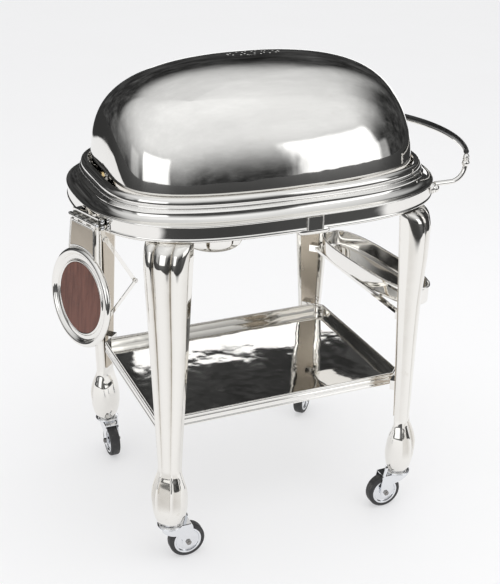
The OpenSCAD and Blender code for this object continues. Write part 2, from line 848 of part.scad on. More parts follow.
module rest_frame() {
    top = -7;
    t = 5;
    outline = [[-neck_top, top], [neck_top, top], [neck_low, -neck_drop], [-neck_low, -neck_drop]];
    inner = [[-neck_top + 9, top - 9], [neck_top - 9, top - 9], [neck_low - 12, -neck_drop],
        [-neck_low + 12, -neck_drop]];
    color(silver) rest_hang()
        difference() {
            union() {
                translate([-t / 2, 0, 0]) rotate([90, 0, 90]) linear_extrude(t) polygon(outline);
                for (k = [1:2:knuckles - 1]) {
                    knuckle(k);
                    translate([-t / 2, knuckle_y(k) + gap / 2, top - 1]) cube([t, knuckle_l - gap, -top]);
                }
            }
            // Inset panel with a hollow lower edge
            difference() {
                translate([t / 2 - 1.6, 0, 0]) rotate([90, 0, 90]) linear_extrude(4) polygon(inner);
                translate([-10, 0, -ring_drop]) rotate([0, 90, 0]) cylinder(h = 30, r = ring_r + 10, $fn = 96);
            }
            translate([-10, 0, -ring_drop]) rotate([0, 90, 0]) cylinder(h = 30, r = ring_r, $fn = 96);
            rotate([90, 0, 0]) cylinder(h = 200, r = rest_pin_r + fit, center = true);
        }
}

module rest_ring() {
    lip = 7;
    mid = ring_r - lip;
    disc = rest_disc_r;
    color(silver) rest_hang() translate([0, 0, -ring_drop]) {
        rotate([0, 90, 0])
            rotate_extrude($fn = 120)
                polygon(concat([[0, -6.2], [mid - 5, -6.2]],
                    [for (k = [0:14]) let (a = -130 + 20 * k)
                        [min(mid + 1.02 * lip * cos(a), ring_r), lip * sin(a)]],
                    [[mid - lip, -1.2], [disc + 3, -1.2], [disc + 2.4, 1.8], [disc + 0.6, 1.8],
                    [disc + 0.3, -3.4], [0, -3.4]]));
        // Lug for the stay on the back
        translate([0, 0, ring_drop]) stay_lug();
    }
}

// The stay's moving pivot stands behind the ring's back plate
module stay_lug() {
    y0 = stay_y + 2 * stay_t + 2 * gap;
    translate([-stay_back, y0, -stay_rho]) rotate([-90, 0, 0]) cylinder(h = 3, r = 5.5);
    translate([-stay_back, y0, -stay_rho - 5.5]) cube([stay_back - 4, 3, 11]);
    translate([-stay_back, y0 - stay_t - 2 * gap, -stay_rho]) rotate([-90, 0, 0])
        cylinder(h = stay_t + 2 * gap + 1, r = stay_pin_r);
}

module rest_disc() {
    color([0.42, 0.22, 0.17]) rest_hang() translate([-3.4, 0, -ring_drop])
        rotate([0, 90, 0]) cylinder(h = 4.4, r = rest_disc_r, $fn = 120);
}

// Elbow of the stay at rest, from the lengths of its two equal links
rest_b = [stay_rho * sin(rest_lean) - stay_back * cos(rest_lean),
    -stay_rho * cos(rest_lean) - stay_back * sin(rest_lean)];
stay_span = norm(rest_b - anchor);
stay_dir = (rest_b - anchor) / stay_span;
stay_rise = sqrt(stay_l * stay_l - stay_span * stay_span / 4);
elbow = (rest_b + anchor) / 2 + stay_rise * [stay_dir[1], -stay_dir[0]];

// Flat link between two points of the hinge's cross plane, with a hole at its first end
module stay_link(from, to, y) {
    d = to - from;
    turn = atan2(d[0], d[1]);
    rest_place() translate([from[0], y, from[1]]) rotate([0, turn, 0])
        difference() {
            union() {
                translate([-4.5, 0, 0]) cube([9, stay_t, norm(d)]);
                for (h = [0, norm(d)])
                    translate([0, 0, h]) rotate([-90, 0, 0]) cylinder(h = stay_t, r = 6);
            }
            translate([0, -1, 0]) rotate([-90, 0, 0]) cylinder(h = stay_t + 2, r = stay_pin_r + fit);
        }
}

module stay_rivet(at, y, out) {
    rest_place() translate([at[0], y, at[1]]) rotate([out > 0 ? -90 : 90, 0, 0])
        cylinder(h = 1.6, r1 = 4, r2 = 2.6);
}

module stay_upper() {
    color(silver) {
        stay_link(anchor, elbow, stay_y);
        stay_rivet(elbow, stay_y, -1);
    }
}

module stay_lower() {
    y = stay_y + stay_t + gap;
    color(silver) {
        stay_link(rest_b, elbow, y);
        stay_rivet(elbow, y + stay_t, 1);
    }
}

module stay_anchor() {
    // Cranked bracket from the hinge leaf's lug down to the fixed pivot
    y = stay_y - gap - 3;
    outline = [[-8.6, 10], [-18.8, 10], [-18.8, -21], [-26, -33], [-25, -38], [-20, -41.5],
        [-15, -39], [-8.6, -20]];
    color(silver) rest_place() {
        translate([0, y + 3, 0]) rotate([90, 0, 0]) linear_extrude(3) polygon(outline);
        translate([-18.8, 45, -6.4]) cube([10.2, y + 1 - 45, 16.4]);
        translate([anchor[0], y, anchor[1]]) rotate([-90, 0, 0])
            cylinder(h = 3 + gap + stay_t - 0.2, r = stay_pin_r);
    }
}

// ---- dome ------------------------------------------------------------------------------

dome_n = 44;
dome_t = [for (k = [0:dome_n]) 90 - 90 * cos(180 * k / dome_n)];
dome_outer = [for (a = dome_t) dome_point(dome_half, dome_r, a)];

// Solid of revolution about the dome's axis, over a list of points
module dome_turned(points, angle) {
    profile = [for (p = points) [max(p[1], 0), -p[0]]];
    translate([0, 0, axis_z]) rotate([0, 90, 0]) rotate([0, 0, 90])
        rotate_extrude(angle = angle, $fn = 128) polygon(profile);
}

module dome_shell() {
    inner = [for (k = [dome_n:-1:0])
        dome_point(dome_half - dome_wall, dome_r - dome_wall, dome_t[k])];
    color(silver) at_deck()
        difference() {
            dome_turned(concat(dome_outer, inner), 180);
            translate([-400, 0, axis_z]) rotate([0, 90, 0]) cylinder(h = 800, r = bush_r);
            vents();
        }
}

// Two oval rings of vent holes round the top of the dome
module vents() {
    for (ring = [[62, 17, 16], [40, 9, 10]], k = [1:ring[2]])
        let (a = 360 * (k - 0.5) / ring[2])
        translate([ring[0] * cos(a), ring[1] * sin(a), axis_z + dome_r - 12])
            cylinder(h = 20, r = vent_r, $fn = 24);
}

// Half-round bead under the edge of the shell, in two halves between the bushes
module dome_bead() {
    r = 3.5;
    half = dome_half - 1.4;
    radius = dome_r - 1.4;
    t0 = asin(pow((bush_r + 0.3) / radius, dome_pr / 2));
    n = 40;
    step = 0.01;
    color(silver) at_deck() for (m = [0, 1]) mirror([0, m, 0])
        skin([for (k = [0:n])
            let (t = 90 - (90 - t0) * cos(180 * k / n), p = dome_point(half, radius, t),
                 ahead = dome_point(half, radius, t + step), d = ahead - p,
                 side = [d[1], -d[0]] / norm(d))
            [for (j = [0:6]) let (a = -180 + 30 * j)
                [p[0] - side[0] * r * cos(a), p[1] - side[1] * r * cos(a), axis_z + r * sin(a)]]]);
}

module dome_bushes() {
    color([0.70, 0.56, 0.30]) at_deck() both_ends()
        translate([dome_half - 4.5, 0, axis_z]) rotate([0, 90, 0])
            difference() {
                cylinder(h = 7, r = bush_r);
                translate([0, 0, -1]) cylinder(h = 9, r = hub_r + fit);
            }
}

module dome_handle() {
    post = 60;
    reach = dome_r + 30;
    foot = dome_r - 3;
    color(silver) at_deck()
        difference() {
            translate([0, 0, axis_z]) rotate([lift_angle, 0, 0]) {
                for (m = [0, 1]) mirror([m, 0, 0]) {
                    translate([post, 0, 0]) rotate([-90, 0, 0]) {
                        translate([0, 0, foot]) cylinder(h = reach - foot, r = 5);
                        translate([0, 0, foot]) cylinder(h = 6, r1 = 12, r2 = 8);
                    }
                    translate([post + 20, reach, 0]) sphere(8);
                }
                translate([-post - 20, reach, 0]) rotate([0, 90, 0]) cylinder(h = 2 * post + 40, r = 8);
            }
            dome_turned(dome_outer, 360);
        }
}

// ---- tool tray -------------------------------------------------------------------------

// Closed outline |x/a|^p + |y/b|^p = 1 of the tray, grown by an amount
function tray_outline(grow, n = 64) = [for (k = [0:n - 1])
    let (t = 360 * k / n)
    [(tray_w / 2 + grow) * signed_pow(cos(t), 2 / tray_p),
        (tray_l / 2 + grow) * signed_pow(sin(t), 2 / tray_p)]];

module tool_tray() {
    wall = 2;
    lip = 3;
    color(silver) at_deck() translate([tray_mid_x, 0, tray_z]) rotate([0, 0, tray_turn])
        difference() {
            union() {
                linear_extrude(tray_h) polygon(tray_outline(0));
                translate([0, 0, tray_h - lip]) linear_extrude(lip) polygon(tray_outline(lip));
            }
            translate([0, 0, wall]) linear_extrude(tray_h) polygon(tray_outline(-wall));
        }
}

module tool_rail() {
    // Bar between the right legs, with two arms that carry the tray
    h = 8;
    z = tray_z - h;
    color(silver) {
        at_deck() {
            translate([rail_x - 5, -222, z]) cube([10, 444, h]);
            for (s = [-1, 1])
                translate([rail_x, s * 120 - 6, z + 3]) cube([104, 12, h - 3]);
        }
        for (s = [-1, 1])
            leg_place(1, s) translate([-37, -29, z - 5]) cube([11.4, 26, 18]);
    }
}

rim_apron();
rim_cove();
rim_moulding();
rim_underplate();
rim_sleeve();
hub_brackets();
hub_shafts();
deck_brackets();
deck_plate();
water_pan();
carving_board();
gravy_wells();
lid_front();
lid_back();
burner_dishes();
burner_cans();
burner_straps();
leg_front_left();
leg_front_right();
leg_back_left();
leg_back_right();
leg_plates();
leg_mounts();
shelf_tray();
shelf_rail();
shelf_brackets();
caster_sockets();
fork_front_left();
fork_front_right();
fork_back_left();
fork_back_right();
tyre_front_left();
tyre_front_right();
tyre_back_left();
tyre_back_right();
wheel_front_left();
wheel_front_right();
wheel_back_left();
wheel_back_right();
axles_front_left();
axles_front_right();
axles_back_left();
axles_back_right();
handle_bosses();
handle_arms();
handle_grip();
rest_leaf();
rest_pin();
stay_anchor();
rest_frame();
rest_ring();
rest_disc();
stay_upper();
stay_lower();
dome_shell();
dome_bead();
dome_bushes();
dome_handle();
tool_tray();
tool_rail();
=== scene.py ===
import math

import bpy
import numpy as np
from mathutils import Matrix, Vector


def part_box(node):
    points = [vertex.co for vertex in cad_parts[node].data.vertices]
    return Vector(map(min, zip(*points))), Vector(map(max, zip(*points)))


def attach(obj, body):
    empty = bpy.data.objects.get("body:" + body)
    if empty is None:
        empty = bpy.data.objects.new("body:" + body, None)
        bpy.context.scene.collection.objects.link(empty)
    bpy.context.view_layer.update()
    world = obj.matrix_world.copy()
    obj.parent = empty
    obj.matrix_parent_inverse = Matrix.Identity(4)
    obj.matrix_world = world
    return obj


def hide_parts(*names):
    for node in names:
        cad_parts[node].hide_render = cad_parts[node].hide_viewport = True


# Carving trolley. Shapes are worked out in millimetres round the middle of the deck, x to the push handle,
# y to the chef's side, z up from the floor, and turned into metres when a mesh is made.
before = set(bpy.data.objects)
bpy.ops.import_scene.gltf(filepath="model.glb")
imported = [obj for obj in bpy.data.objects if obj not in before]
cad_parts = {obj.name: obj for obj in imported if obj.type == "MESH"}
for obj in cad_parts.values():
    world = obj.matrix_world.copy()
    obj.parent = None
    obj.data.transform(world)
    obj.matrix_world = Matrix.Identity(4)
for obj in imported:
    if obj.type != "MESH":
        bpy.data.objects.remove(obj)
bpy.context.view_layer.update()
shellLow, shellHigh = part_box("dome_shell")
deckX = 500 * (shellLow[0] + shellHigh[0])
print("frame loaded,", len(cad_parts), "nodes, deck middle at", round(deckX, 2))


# ---- small geometry tools
def gridFaces(rows, cols, closeRows=False, closeCols=False):
    # quads between neighbouring points of a rows x cols grid
    i, j = np.meshgrid(np.arange(rows - (not closeRows)), np.arange(cols - (not closeCols)), indexing="ij")
    k, m = (i + 1) % rows, (j + 1) % cols
    return np.stack([i * cols + j, k * cols + j, k * cols + m, i * cols + m], -1).reshape(-1, 4).tolist()


def gridSurface(points, closeRows=False, closeCols=True, caps=True):
    # points is rows x cols x 3; the first and last rows are closed with one face each
    rows, cols = points.shape[:2]
    faces = gridFaces(rows, cols, closeRows, closeCols)
    if caps and not closeRows:
        faces += [list(range(cols)), [(rows - 1) * cols + j for j in range(cols)][::-1]]
    return points.reshape(-1, 3), faces


def outward(verts, faces):
    # the signed volume, a sum of corner triple products, is negative where the faces point inwards
    total = 0.0
    for size in {len(f) for f in faces}:
        ring = verts[np.array([f for f in faces if len(f) == size])]
        for k in range(1, size - 1):
            total += np.einsum("ij,ij->i", ring[:, 0], np.cross(ring[:, k], ring[:, k + 1])).sum()
    return faces if total >= 0 else [f[::-1] for f in faces]


def shift(x=0.0, y=0.0, z=0.0):
    m = np.eye(4)
    m[:3, 3] = x, y, z
    return m


def turn(axis, degrees):
    return np.array(Matrix.Rotation(math.radians(degrees), 4, axis))


def flip(x=1, y=1, z=1):
    return np.diag([x, y, z, 1.0])


def moved(surfaces, matrix):
    return [(v @ matrix[:3, :3].T + matrix[:3, 3], f) for v, f in surfaces]


def lathe(profile, steps=96):
    # profile of [radius, height] turned about z; an end on the axis becomes one pole point
    p = np.array(profile, float)
    low, high = p[0, 0] < 1e-6, p[-1, 0] < 1e-6
    ring = p[int(low):len(p) - int(high)]
    a = np.linspace(0, 2 * np.pi, steps, endpoint=False)
    r, z = ring[:, :1], ring[:, 1:]
    verts = np.stack([r * np.cos(a), r * np.sin(a), z + 0 * a], -1).reshape(-1, 3)
    closed = not (low or high)
    faces = gridFaces(len(ring), steps, closed, True)
    for pole, row in ((low, 0), (high, len(ring) - 1)):
        if pole:
            verts = np.vstack([verts, [[0, 0, p[0 if row == 0 else -1, 1]]]])
            n = len(verts) - 1
            side = [[n, row * steps + (j + 1) % steps, row * steps + j] for j in range(steps)]
            faces += side if row == 0 else [f[::-1] for f in side]
    return verts, faces


def rounded(corners, radii, steps=5, closed=True):
    # outline whose corners are rounded: each corner becomes a quadratic curve from edge to edge
    c = np.array(corners, float)
    radii = np.broadcast_to(radii, len(c))
    out = []
    for k, (p, r) in enumerate(zip(c, radii)):
        a, b = c[k - 1] - p, c[(k + 1) % len(c)] - p
        if r <= 0 or (not closed and k in (0, len(c) - 1)):
            out.append(p)
            continue
        la, lb = np.linalg.norm(a), np.linalg.norm(b)
        ra, rb = min(r, 0.45 * la) / la, min(r, 0.45 * lb) / lb
        q = np.linspace(0, 1, steps + 1)[:, None]
        out.extend((1 - q) ** 2 * (p + a * ra) + 2 * q * (1 - q) * p + q ** 2 * (p + b * rb))
    return np.array(out)


def slab(outline, low, high):
    # flat outline between two heights
    o = np.array(outline, float)
    layers = [np.column_stack([o, np.full(len(o), h)]) for h in (low, high)]
    return gridSurface(np.array(layers))


def block(size, middle=(0, 0, 0)):
    x, y, z = np.array(size) / 2
    v, f = slab([[-x, -y], [x, -y], [x, y], [-x, y]], -z, z)
    return v + np.array(middle), f


def curvePart(middle, radius, start, end, steps):
    # points of a circle between two angles, in a plane
    a = np.radians(np.linspace(start, end, steps))
    return np.column_stack([middle[0] + radius * np.cos(a), middle[1] + radius * np.sin(a)]).tolist()


def tube(path, radius, sides=24, closed=False):
    # circle carried along a path; its frame turns no more than the path does
    path = np.array(path, float)
    step = np.roll(path, -1, 0) - np.roll(path, 1, 0)
    if not closed:
        step[0], step[-1] = path[1] - path[0], path[-1] - path[-2]
    tangent = step / np.linalg.norm(step, axis=1)[:, None]
    side = np.cross(tangent[0], [0.13, 0.22, 0.97])
    frames = []
    for t in tangent:
        side = side - t * (side @ t)
        side = side / np.linalg.norm(side)
        frames.append((side, np.cross(t, side)))
    a = np.linspace(0, 2 * np.pi, sides, endpoint=False)
    s = np.array([f[0] for f in frames])[:, None]
    u = np.array([f[1] for f in frames])[:, None]
    r = np.broadcast_to(radius, len(path))[:, None, None]
    points = path[:, None] + r * (s * np.cos(a)[None, :, None] + u * np.sin(a)[None, :, None])
    return gridSurface(points, closeRows=closed)


def smoothRow(heights, table):
    # smooth curve through a table of [height, value], with no overshoot between its points
    x, y = np.array(table, float).T
    h, d = np.diff(x), np.diff(y) / np.diff(x)
    m = np.zeros(len(x))
    inner = d[:-1] * d[1:] > 0
    m[1:-1][inner] = 2 * d[:-1][inner] * d[1:][inner] / (d[:-1] + d[1:])[inner]
    m[0], m[-1] = d[0], d[-1]
    k = np.clip(np.searchsorted(x, heights, side="right") - 1, 0, len(h) - 1)
    t = (heights - x[k]) / h[k]
    return ((2 * t ** 3 - 3 * t ** 2 + 1) * y[k] + (t ** 3 - 2 * t ** 2 + t) * h[k] * m[k]
            + (3 * t ** 2 - 2 * t ** 3) * y[k + 1] + (t ** 3 - t ** 2) * h[k] * m[k + 1])


def signedPow(v, p):
    return np.sign(v) * np.abs(v) ** p


def addPiece(name, body, surfaces, material, replaces=(), sharp=32, bevel=0.0):
    # surfaces in millimetres round the deck's middle become one mesh in metres
    verts, faces, start = [], [], 0
    for v, f in surfaces:
        f = outward(v, f)
        faces += [[i + start for i in face] for face in f]
        verts.append(v)
        start += len(v)
    verts = (np.vstack(verts) + [deckX, 0, 0]) * 0.001
    mesh = bpy.data.meshes.new(name)
    mesh.from_pydata(verts.tolist(), [], faces)
    mesh.validate()
    mesh.shade_smooth()
    mesh.set_sharp_from_angle(angle=math.radians(sharp))
    mesh.materials.append(material)
    piece = bpy.data.objects.new(name, mesh)
    bpy.context.collection.objects.link(piece)
    if bevel:
        edge = piece.modifiers.new("soft edges", "BEVEL")
        edge.width, edge.segments, edge.limit_method = bevel * 0.001, 3, "ANGLE"
        edge.angle_limit, edge.harden_normals = math.radians(40), True
    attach(piece, body)
    if replaces:
        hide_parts(*replaces)
    return piece


# ---- shader tools
def addNode(tree, kind, inputs=None, **settings):
    # inputs gives each socket a link or a plain value
    node = tree.nodes.new(kind)
    for key, value in settings.items():
        setattr(node, key, value)
    for key, value in (inputs or {}).items():
        if isinstance(value, bpy.types.NodeSocket):
            tree.links.new(value, node.inputs[key])
        else:
            node.inputs[key].default_value = value
    return node


def mathNode(tree, operation, a, b=0.0, clamp=False):
    node = addNode(tree, "ShaderNodeMath", {0: a, 1: b}, operation=operation, use_clamp=clamp)
    return node.outputs[0]


def noiseNode(tree, vector, scale, detail=2.0, rough=0.5):
    node = addNode(tree, "ShaderNodeTexNoise", {"Vector": vector, "Scale": scale, "Detail": detail,
                                                "Roughness": rough})
    return node.outputs["Fac"]


def rampNode(tree, value, low, high):
    # 0 at low, 1 at high, with a smooth rise
    node = addNode(tree, "ShaderNodeMapRange", {"Value": value, "From Min": low, "From Max": high},
                   interpolation_type="SMOOTHSTEP")
    return node.outputs["Result"]


def newGroup(name, inputs, outputs):
    # empty node group with named sockets; returns it with what comes in and what goes out
    group = bpy.data.node_groups.new(name, "ShaderNodeTree")
    for label, kind, value in inputs:
        socket = group.interface.new_socket(label, in_out="INPUT", socket_type=kind)
        if value is not None:
            socket.default_value = value
    for label, kind in outputs:
        group.interface.new_socket(label, in_out="OUTPUT", socket_type=kind)
    return group, group.nodes.new("NodeGroupInput").outputs, group.nodes.new("NodeGroupOutput").inputs


def polishGroup():
    # beaten and polished plate: slow waves in the surface, hairlines, and smears that dull it
    g, i, o = newGroup("polishedPlate",
                       [("Vector", "NodeSocketVector", None), ("Wave", "NodeSocketFloat", 1.0),
                        ("Hairline", "NodeSocketFloat", 1.0), ("Smear", "NodeSocketFloat", 1.0)],
                       [("Height", "NodeSocketFloat"), ("Dull", "NodeSocketFloat"),
                        ("Stain", "NodeSocketFloat")])
    slow = noiseNode(g, i["Vector"], 7.0, 1.0, 0.4)
    mid = noiseNode(g, i["Vector"], 22.0, 1.5, 0.5)
    wave = mathNode(g, "ADD", slow, mathNode(g, "MULTIPLY", mid, 0.28))
    stretch = addNode(g, "ShaderNodeMapping", {"Vector": i["Vector"], "Scale": (1.0, 1.0, 0.06)})
    hair = noiseNode(g, stretch.outputs[0], 900.0, 2.0, 0.6)
    fine = mathNode(g, "MULTIPLY", mathNode(g, "MULTIPLY", hair, i["Hairline"]), 0.006)
    g.links.new(mathNode(g, "ADD", mathNode(g, "MULTIPLY", wave, i["Wave"]), fine), o["Height"])
    smear = rampNode(g, noiseNode(g, i["Vector"], 11.0, 4.0, 0.65), 0.5, 0.8)
    g.links.new(mathNode(g, "MULTIPLY", smear, i["Smear"], True), o["Dull"])
    spots = rampNode(g, noiseNode(g, i["Vector"], 34.0, 5.0, 0.7), 0.56, 0.74)
    g.links.new(mathNode(g, "MULTIPLY", spots, smear, True), o["Stain"])
    return g


def grainGroup():
    # long fibres: noise drawn out along one direction, with darker streaks and pores
    g, i, o = newGroup("woodGrain",
                       [("Vector", "NodeSocketVector", None), ("Stretch", "NodeSocketVector", (1, 1, 1)),
                        ("Density", "NodeSocketFloat", 40.0)],
                       [("Streak", "NodeSocketFloat"), ("Pore", "NodeSocketFloat")])
    warp = addNode(g, "ShaderNodeTexNoise", {"Vector": i["Vector"], "Scale": 3.0, "Detail": 1.0})
    bent = addNode(g, "ShaderNodeVectorMath",
                   {0: warp.outputs["Color"], 1: (0.02, 0.02, 0.02), 2: i["Vector"]},
                   operation="MULTIPLY_ADD")
    drawn = addNode(g, "ShaderNodeVectorMath", {0: bent.outputs[0], 1: i["Stretch"]}, operation="MULTIPLY")
    streak = addNode(g, "ShaderNodeTexNoise", {"Vector": drawn.outputs[0], "Scale": i["Density"],
                                               "Detail": 4.0, "Roughness": 0.6})
    pore = addNode(g, "ShaderNodeTexNoise", {"Vector": drawn.outputs[0],
                                             "Scale": mathNode(g, "MULTIPLY", i["Density"], 7.0)})
    g.links.new(rampNode(g, streak.outputs["Fac"], 0.3, 0.7), o["Streak"])
    g.links.new(rampNode(g, pore.outputs["Fac"], 0.62, 0.7), o["Pore"])
    return g


plateGroup = polishGroup()
fibreGroup = grainGroup()


def baseMaterial(name):
    # every finish reads object coordinates
    made = bpy.data.materials.new(name)
    made.use_nodes = True
    tree = made.node_tree
    shader = tree.nodes["Principled BSDF"]
    place = addNode(tree, "ShaderNodeTexCoord").outputs["Object"]
    return made, tree, shader, place


def colourMix(tree, factor, low, high):
    node = addNode(tree, "ShaderNodeMix", {0: factor, 6: low, 7: high}, data_type="RGBA")
    return node.outputs[2]


def polishedMetal(name, bright, stained, wave=1.0, depth=0.0011, smear=0.8, low=0.035, high=0.16,
                  stainAmount=0.5, paintedShadeColour=None):
    # mirror-polished metal from the shared plate group; low and high are its roughness, clean and smeared
    made, tree, shader, place = baseMaterial(name)
    plate = addNode(tree, "ShaderNodeGroup", node_tree=plateGroup)
    tree.links.new(place, plate.inputs["Vector"])
    plate.inputs["Wave"].default_value = wave
    plate.inputs["Smear"].default_value = smear
    stain = mathNode(tree, "MULTIPLY", plate.outputs["Stain"], stainAmount)
    colour = colourMix(tree, stain, (*bright, 1), (*stained, 1))
    shader.inputs["Metallic"].default_value = 1.0
    dull = addNode(tree, "ShaderNodeMapRange", {"Value": plate.outputs["Dull"], "To Min": low,
                                                "To Max": high})
    rough = dull.outputs[0]
    if paintedShadeColour:
        # painted shade: the mesh says where a darker, duller colour is painted in, standing in for the shade
        # and dark reflections in the leg's valleys
        paintedShade = addNode(tree, "ShaderNodeAttribute", attribute_name="paintedShade").outputs["Fac"]
        patches = mathNode(tree, "ADD", noiseNode(tree, place, 26.0, 4.0, 0.7), 0.35)
        paintedShadeAmount = mathNode(tree, "MULTIPLY", paintedShade, patches, True)
        colour = colourMix(tree, paintedShadeAmount, colour, (*paintedShadeColour, 1))
        rough = mathNode(tree, "ADD", rough, mathNode(tree, "MULTIPLY", paintedShadeAmount, 0.16))
    tree.links.new(colour, shader.inputs["Base Color"])
    tree.links.new(rough, shader.inputs["Roughness"])
    bump = addNode(tree, "ShaderNodeBump", {"Height": plate.outputs["Height"], "Strength": 1.0,
                                            "Distance": depth})
    tree.links.new(bump.outputs[0], shader.inputs["Normal"])
    return made


def woodMaterial(name, pale, dark, stretch, density, rough, coat):
    # oiled or polished wood: pale and dark streaks, with dark pores sunk into it
    made, tree, shader, place = baseMaterial(name)
    grain = addNode(tree, "ShaderNodeGroup", node_tree=fibreGroup)
    tree.links.new(place, grain.inputs["Vector"])
    grain.inputs["Stretch"].default_value = stretch
    grain.inputs["Density"].default_value = density
    base = colourMix(tree, grain.outputs["Streak"], (*pale, 1), (*dark, 1))
    deep = mathNode(tree, "MULTIPLY", grain.outputs["Pore"], 0.55)
    tree.links.new(colourMix(tree, deep, base, (*[c * 0.35 for c in dark], 1)), shader.inputs["Base Color"])
    dull = addNode(tree, "ShaderNodeMapRange", {"Value": grain.outputs["Streak"], "To Min": rough,
                                                "To Max": rough + 0.12})
    tree.links.new(dull.outputs[0], shader.inputs["Roughness"])
    shader.inputs["Coat Weight"].default_value = coat
    shader.inputs["Coat Roughness"].default_value = 0.12
    bump = addNode(tree, "ShaderNodeBump", {"Height": grain.outputs["Pore"], "Strength": 0.35,
                                            "Distance": 0.0004})
    bump.invert = True
    tree.links.new(bump.outputs[0], shader.inputs["Normal"])
    return made


def darkMaterial(name, colour, dusty, rough, coat, grainSize, depth):
    # rubber and lacquer: near black, with a fine skin and a little dust
    made, tree, shader, place = baseMaterial(name)
    skin = noiseNode(tree, place, grainSize, 3.0, 0.6)
    dust = rampNode(tree, noiseNode(tree, place, 60.0, 5.0, 0.7), 0.52, 0.78)
    tree.links.new(colourMix(tree, dust, (*colour, 1), (*dusty, 1)), shader.inputs["Base Color"])
    dustier = min(1.0, rough + 0.25)
    dull = addNode(tree, "ShaderNodeMapRange", {"Value": dust, "To Min": rough, "To Max": dustier})
    tree.links.new(dull.outputs[0], shader.inputs["Roughness"])
    shader.inputs["Coat Weight"].default_value = coat
    shader.inputs["Coat Roughness"].default_value = 0.15
    bump = addNode(tree, "ShaderNodeBump", {"Height": skin, "Strength": 0.5, "Distance": depth})
    tree.links.new(bump.outputs[0], shader.inputs["Normal"])
    return made


silverPlate = polishedMetal("silverPlate", (0.89, 0.875, 0.845), (0.56, 0.48, 0.37))
smoothPlate = polishedMetal("smoothPlate", (0.88, 0.865, 0.835), (0.60, 0.52, 0.41), wave=0.35, smear=0.5)
# the legs' plate gets a painted shade colour in its valleys and hoof panels, read from the mesh
legPlate = polishedMetal("legPlate", (0.88, 0.862, 0.825), (0.52, 0.45, 0.36), wave=0.7,
                         paintedShadeColour=(0.34, 0.30, 0.24))
shelfPlate = polishedMetal("shelfPlate", (0.88, 0.865, 0.83), (0.60, 0.52, 0.40), wave=1.6, smear=0.9)
tarnishedPlate = polishedMetal("tarnishedPlate", (0.55, 0.49, 0.41), (0.30, 0.24, 0.17), wave=1.2,
                               smear=1.0, low=0.24, high=0.48, stainAmount=0.9)
casterChrome = polishedMetal("casterChrome", (0.80, 0.81, 0.83), (0.45, 0.40, 0.33), wave=0.3,
                             smear=0.7, low=0.06, high=0.22)
spunBrass = polishedMetal("spunBrass", (0.80, 0.61, 0.31), (0.42, 0.28, 0.13), wave=0.5, smear=1.0,
                          low=0.16, high=0.38, stainAmount=0.8)
darkSteel = polishedMetal("darkSteel", (0.30, 0.29, 0.28), (0.14, 0.11, 0.08), wave=0.3, smear=1.0,
                          low=0.18, high=0.4, stainAmount=0.8)
boardWood = woodMaterial("boardWood", pale=(0.50, 0.33, 0.18), dark=(0.30, 0.17, 0.08),
                         stretch=(0.05, 1.0, 1.0), density=60.0, rough=0.42, coat=0.1)
discWood = woodMaterial("discWood", pale=(0.165, 0.048, 0.026), dark=(0.095, 0.027, 0.015),
                        stretch=(1.0, 1.0, 0.05), density=90.0, rough=0.42, coat=0.15)
tyreRubber = darkMaterial("tyreRubber", (0.028, 0.028, 0.029), dusty=(0.11, 0.105, 0.10), rough=0.55,
                          coat=0.0, grainSize=900.0, depth=0.0002)
blackGrip = darkMaterial("blackGrip", (0.012, 0.012, 0.012), dusty=(0.035, 0.034, 0.033), rough=0.3,
                         coat=0.4, grainSize=500.0, depth=0.0001)
print("materials made:", len(bpy.data.materials))

# ---- dome; each ring of vents has its half length, half width and number of holes
dome = dict(radius=248.0, half=355.0, axisZ=854.0, wall=3.0, px=2.3, pr=4.2, bushR=12.0, beadR=3.5,
            beadIn=1.4, ventR=2.2, ventRings=((62, 17, 16), (40, 9, 10)))


def domePoint(half, radius, t):
    # |x/half|^px + |r/radius|^pr = 1, t from 0 at the +x end to pi at the other
    return half * signedPow(np.cos(t), 2 / dome["px"]), radius * signedPow(np.sin(t), 2 / dome["pr"])


def domeOutline(inset, n, endR):
    # half outline drawn in by an inset, from one end hole to the other, with more points near both ends
    half, radius = dome["half"] - inset, dome["radius"] - inset
    t0 = math.asin((endR / radius) ** (dome["pr"] / 2))
    return domePoint(half, radius, np.pi / 2 - (np.pi / 2 - t0) * np.cos(np.pi * np.arange(n + 1) / n))


def domeShell():
    # outer and inner outline turned half way round the x axis, closed along the base
    n, turns = 110, 132
    outX, outR = domeOutline(0.0, n, dome["bushR"])
    inX, inR = domeOutline(dome["wall"], n, dome["bushR"])
    x, r = np.concatenate([outX, inX[::-1]]), np.concatenate([outR, inR[::-1]])
    a = (np.pi * np.arange(turns + 1) / turns)[:, None]
    points = np.stack([x + 0 * a, r * -np.cos(a), r * np.sin(a) + dome["axisZ"]], -1)
    verts, faces = gridSurface(points, caps=False)
    cols = len(x)
    for row in (0, turns):
        edge = [[row * cols + k, row * cols + k + 1, row * cols + cols - 2 - k, row * cols + cols - 1 - k]
                for k in range(n)]
        faces += edge if row == 0 else [f[::-1] for f in edge]
    return verts, faces


def ventCutters():
    # pegs with a countersink at the height where |x/half|^px + (r/radius)^pr = 1 puts the shell
    depth, top, lip = 14, 6, [[-0.7, 0.0], [0.3, 0.9]]
    cutters = []
    for a, b, count in dome["ventRings"]:
        for k in range(count):
            t = 2 * np.pi * (k + 0.5) / count
            x, y, r = a * np.cos(t), b * np.sin(t), dome["ventR"]
            reach = dome["radius"] * (1 - abs(x / dome["half"]) ** dome["px"]) ** (1 / dome["pr"])
            skin = dome["axisZ"] + math.sqrt(reach ** 2 - y ** 2)
            sink = [[r + wider, height] for height, wider in lip]
            hole = lathe([[0, -depth], [r, -depth], *sink, [sink[-1][0], top], [0, top]], 20)
            cutters += moved([hole], shift(x, y, skin))
    return cutters


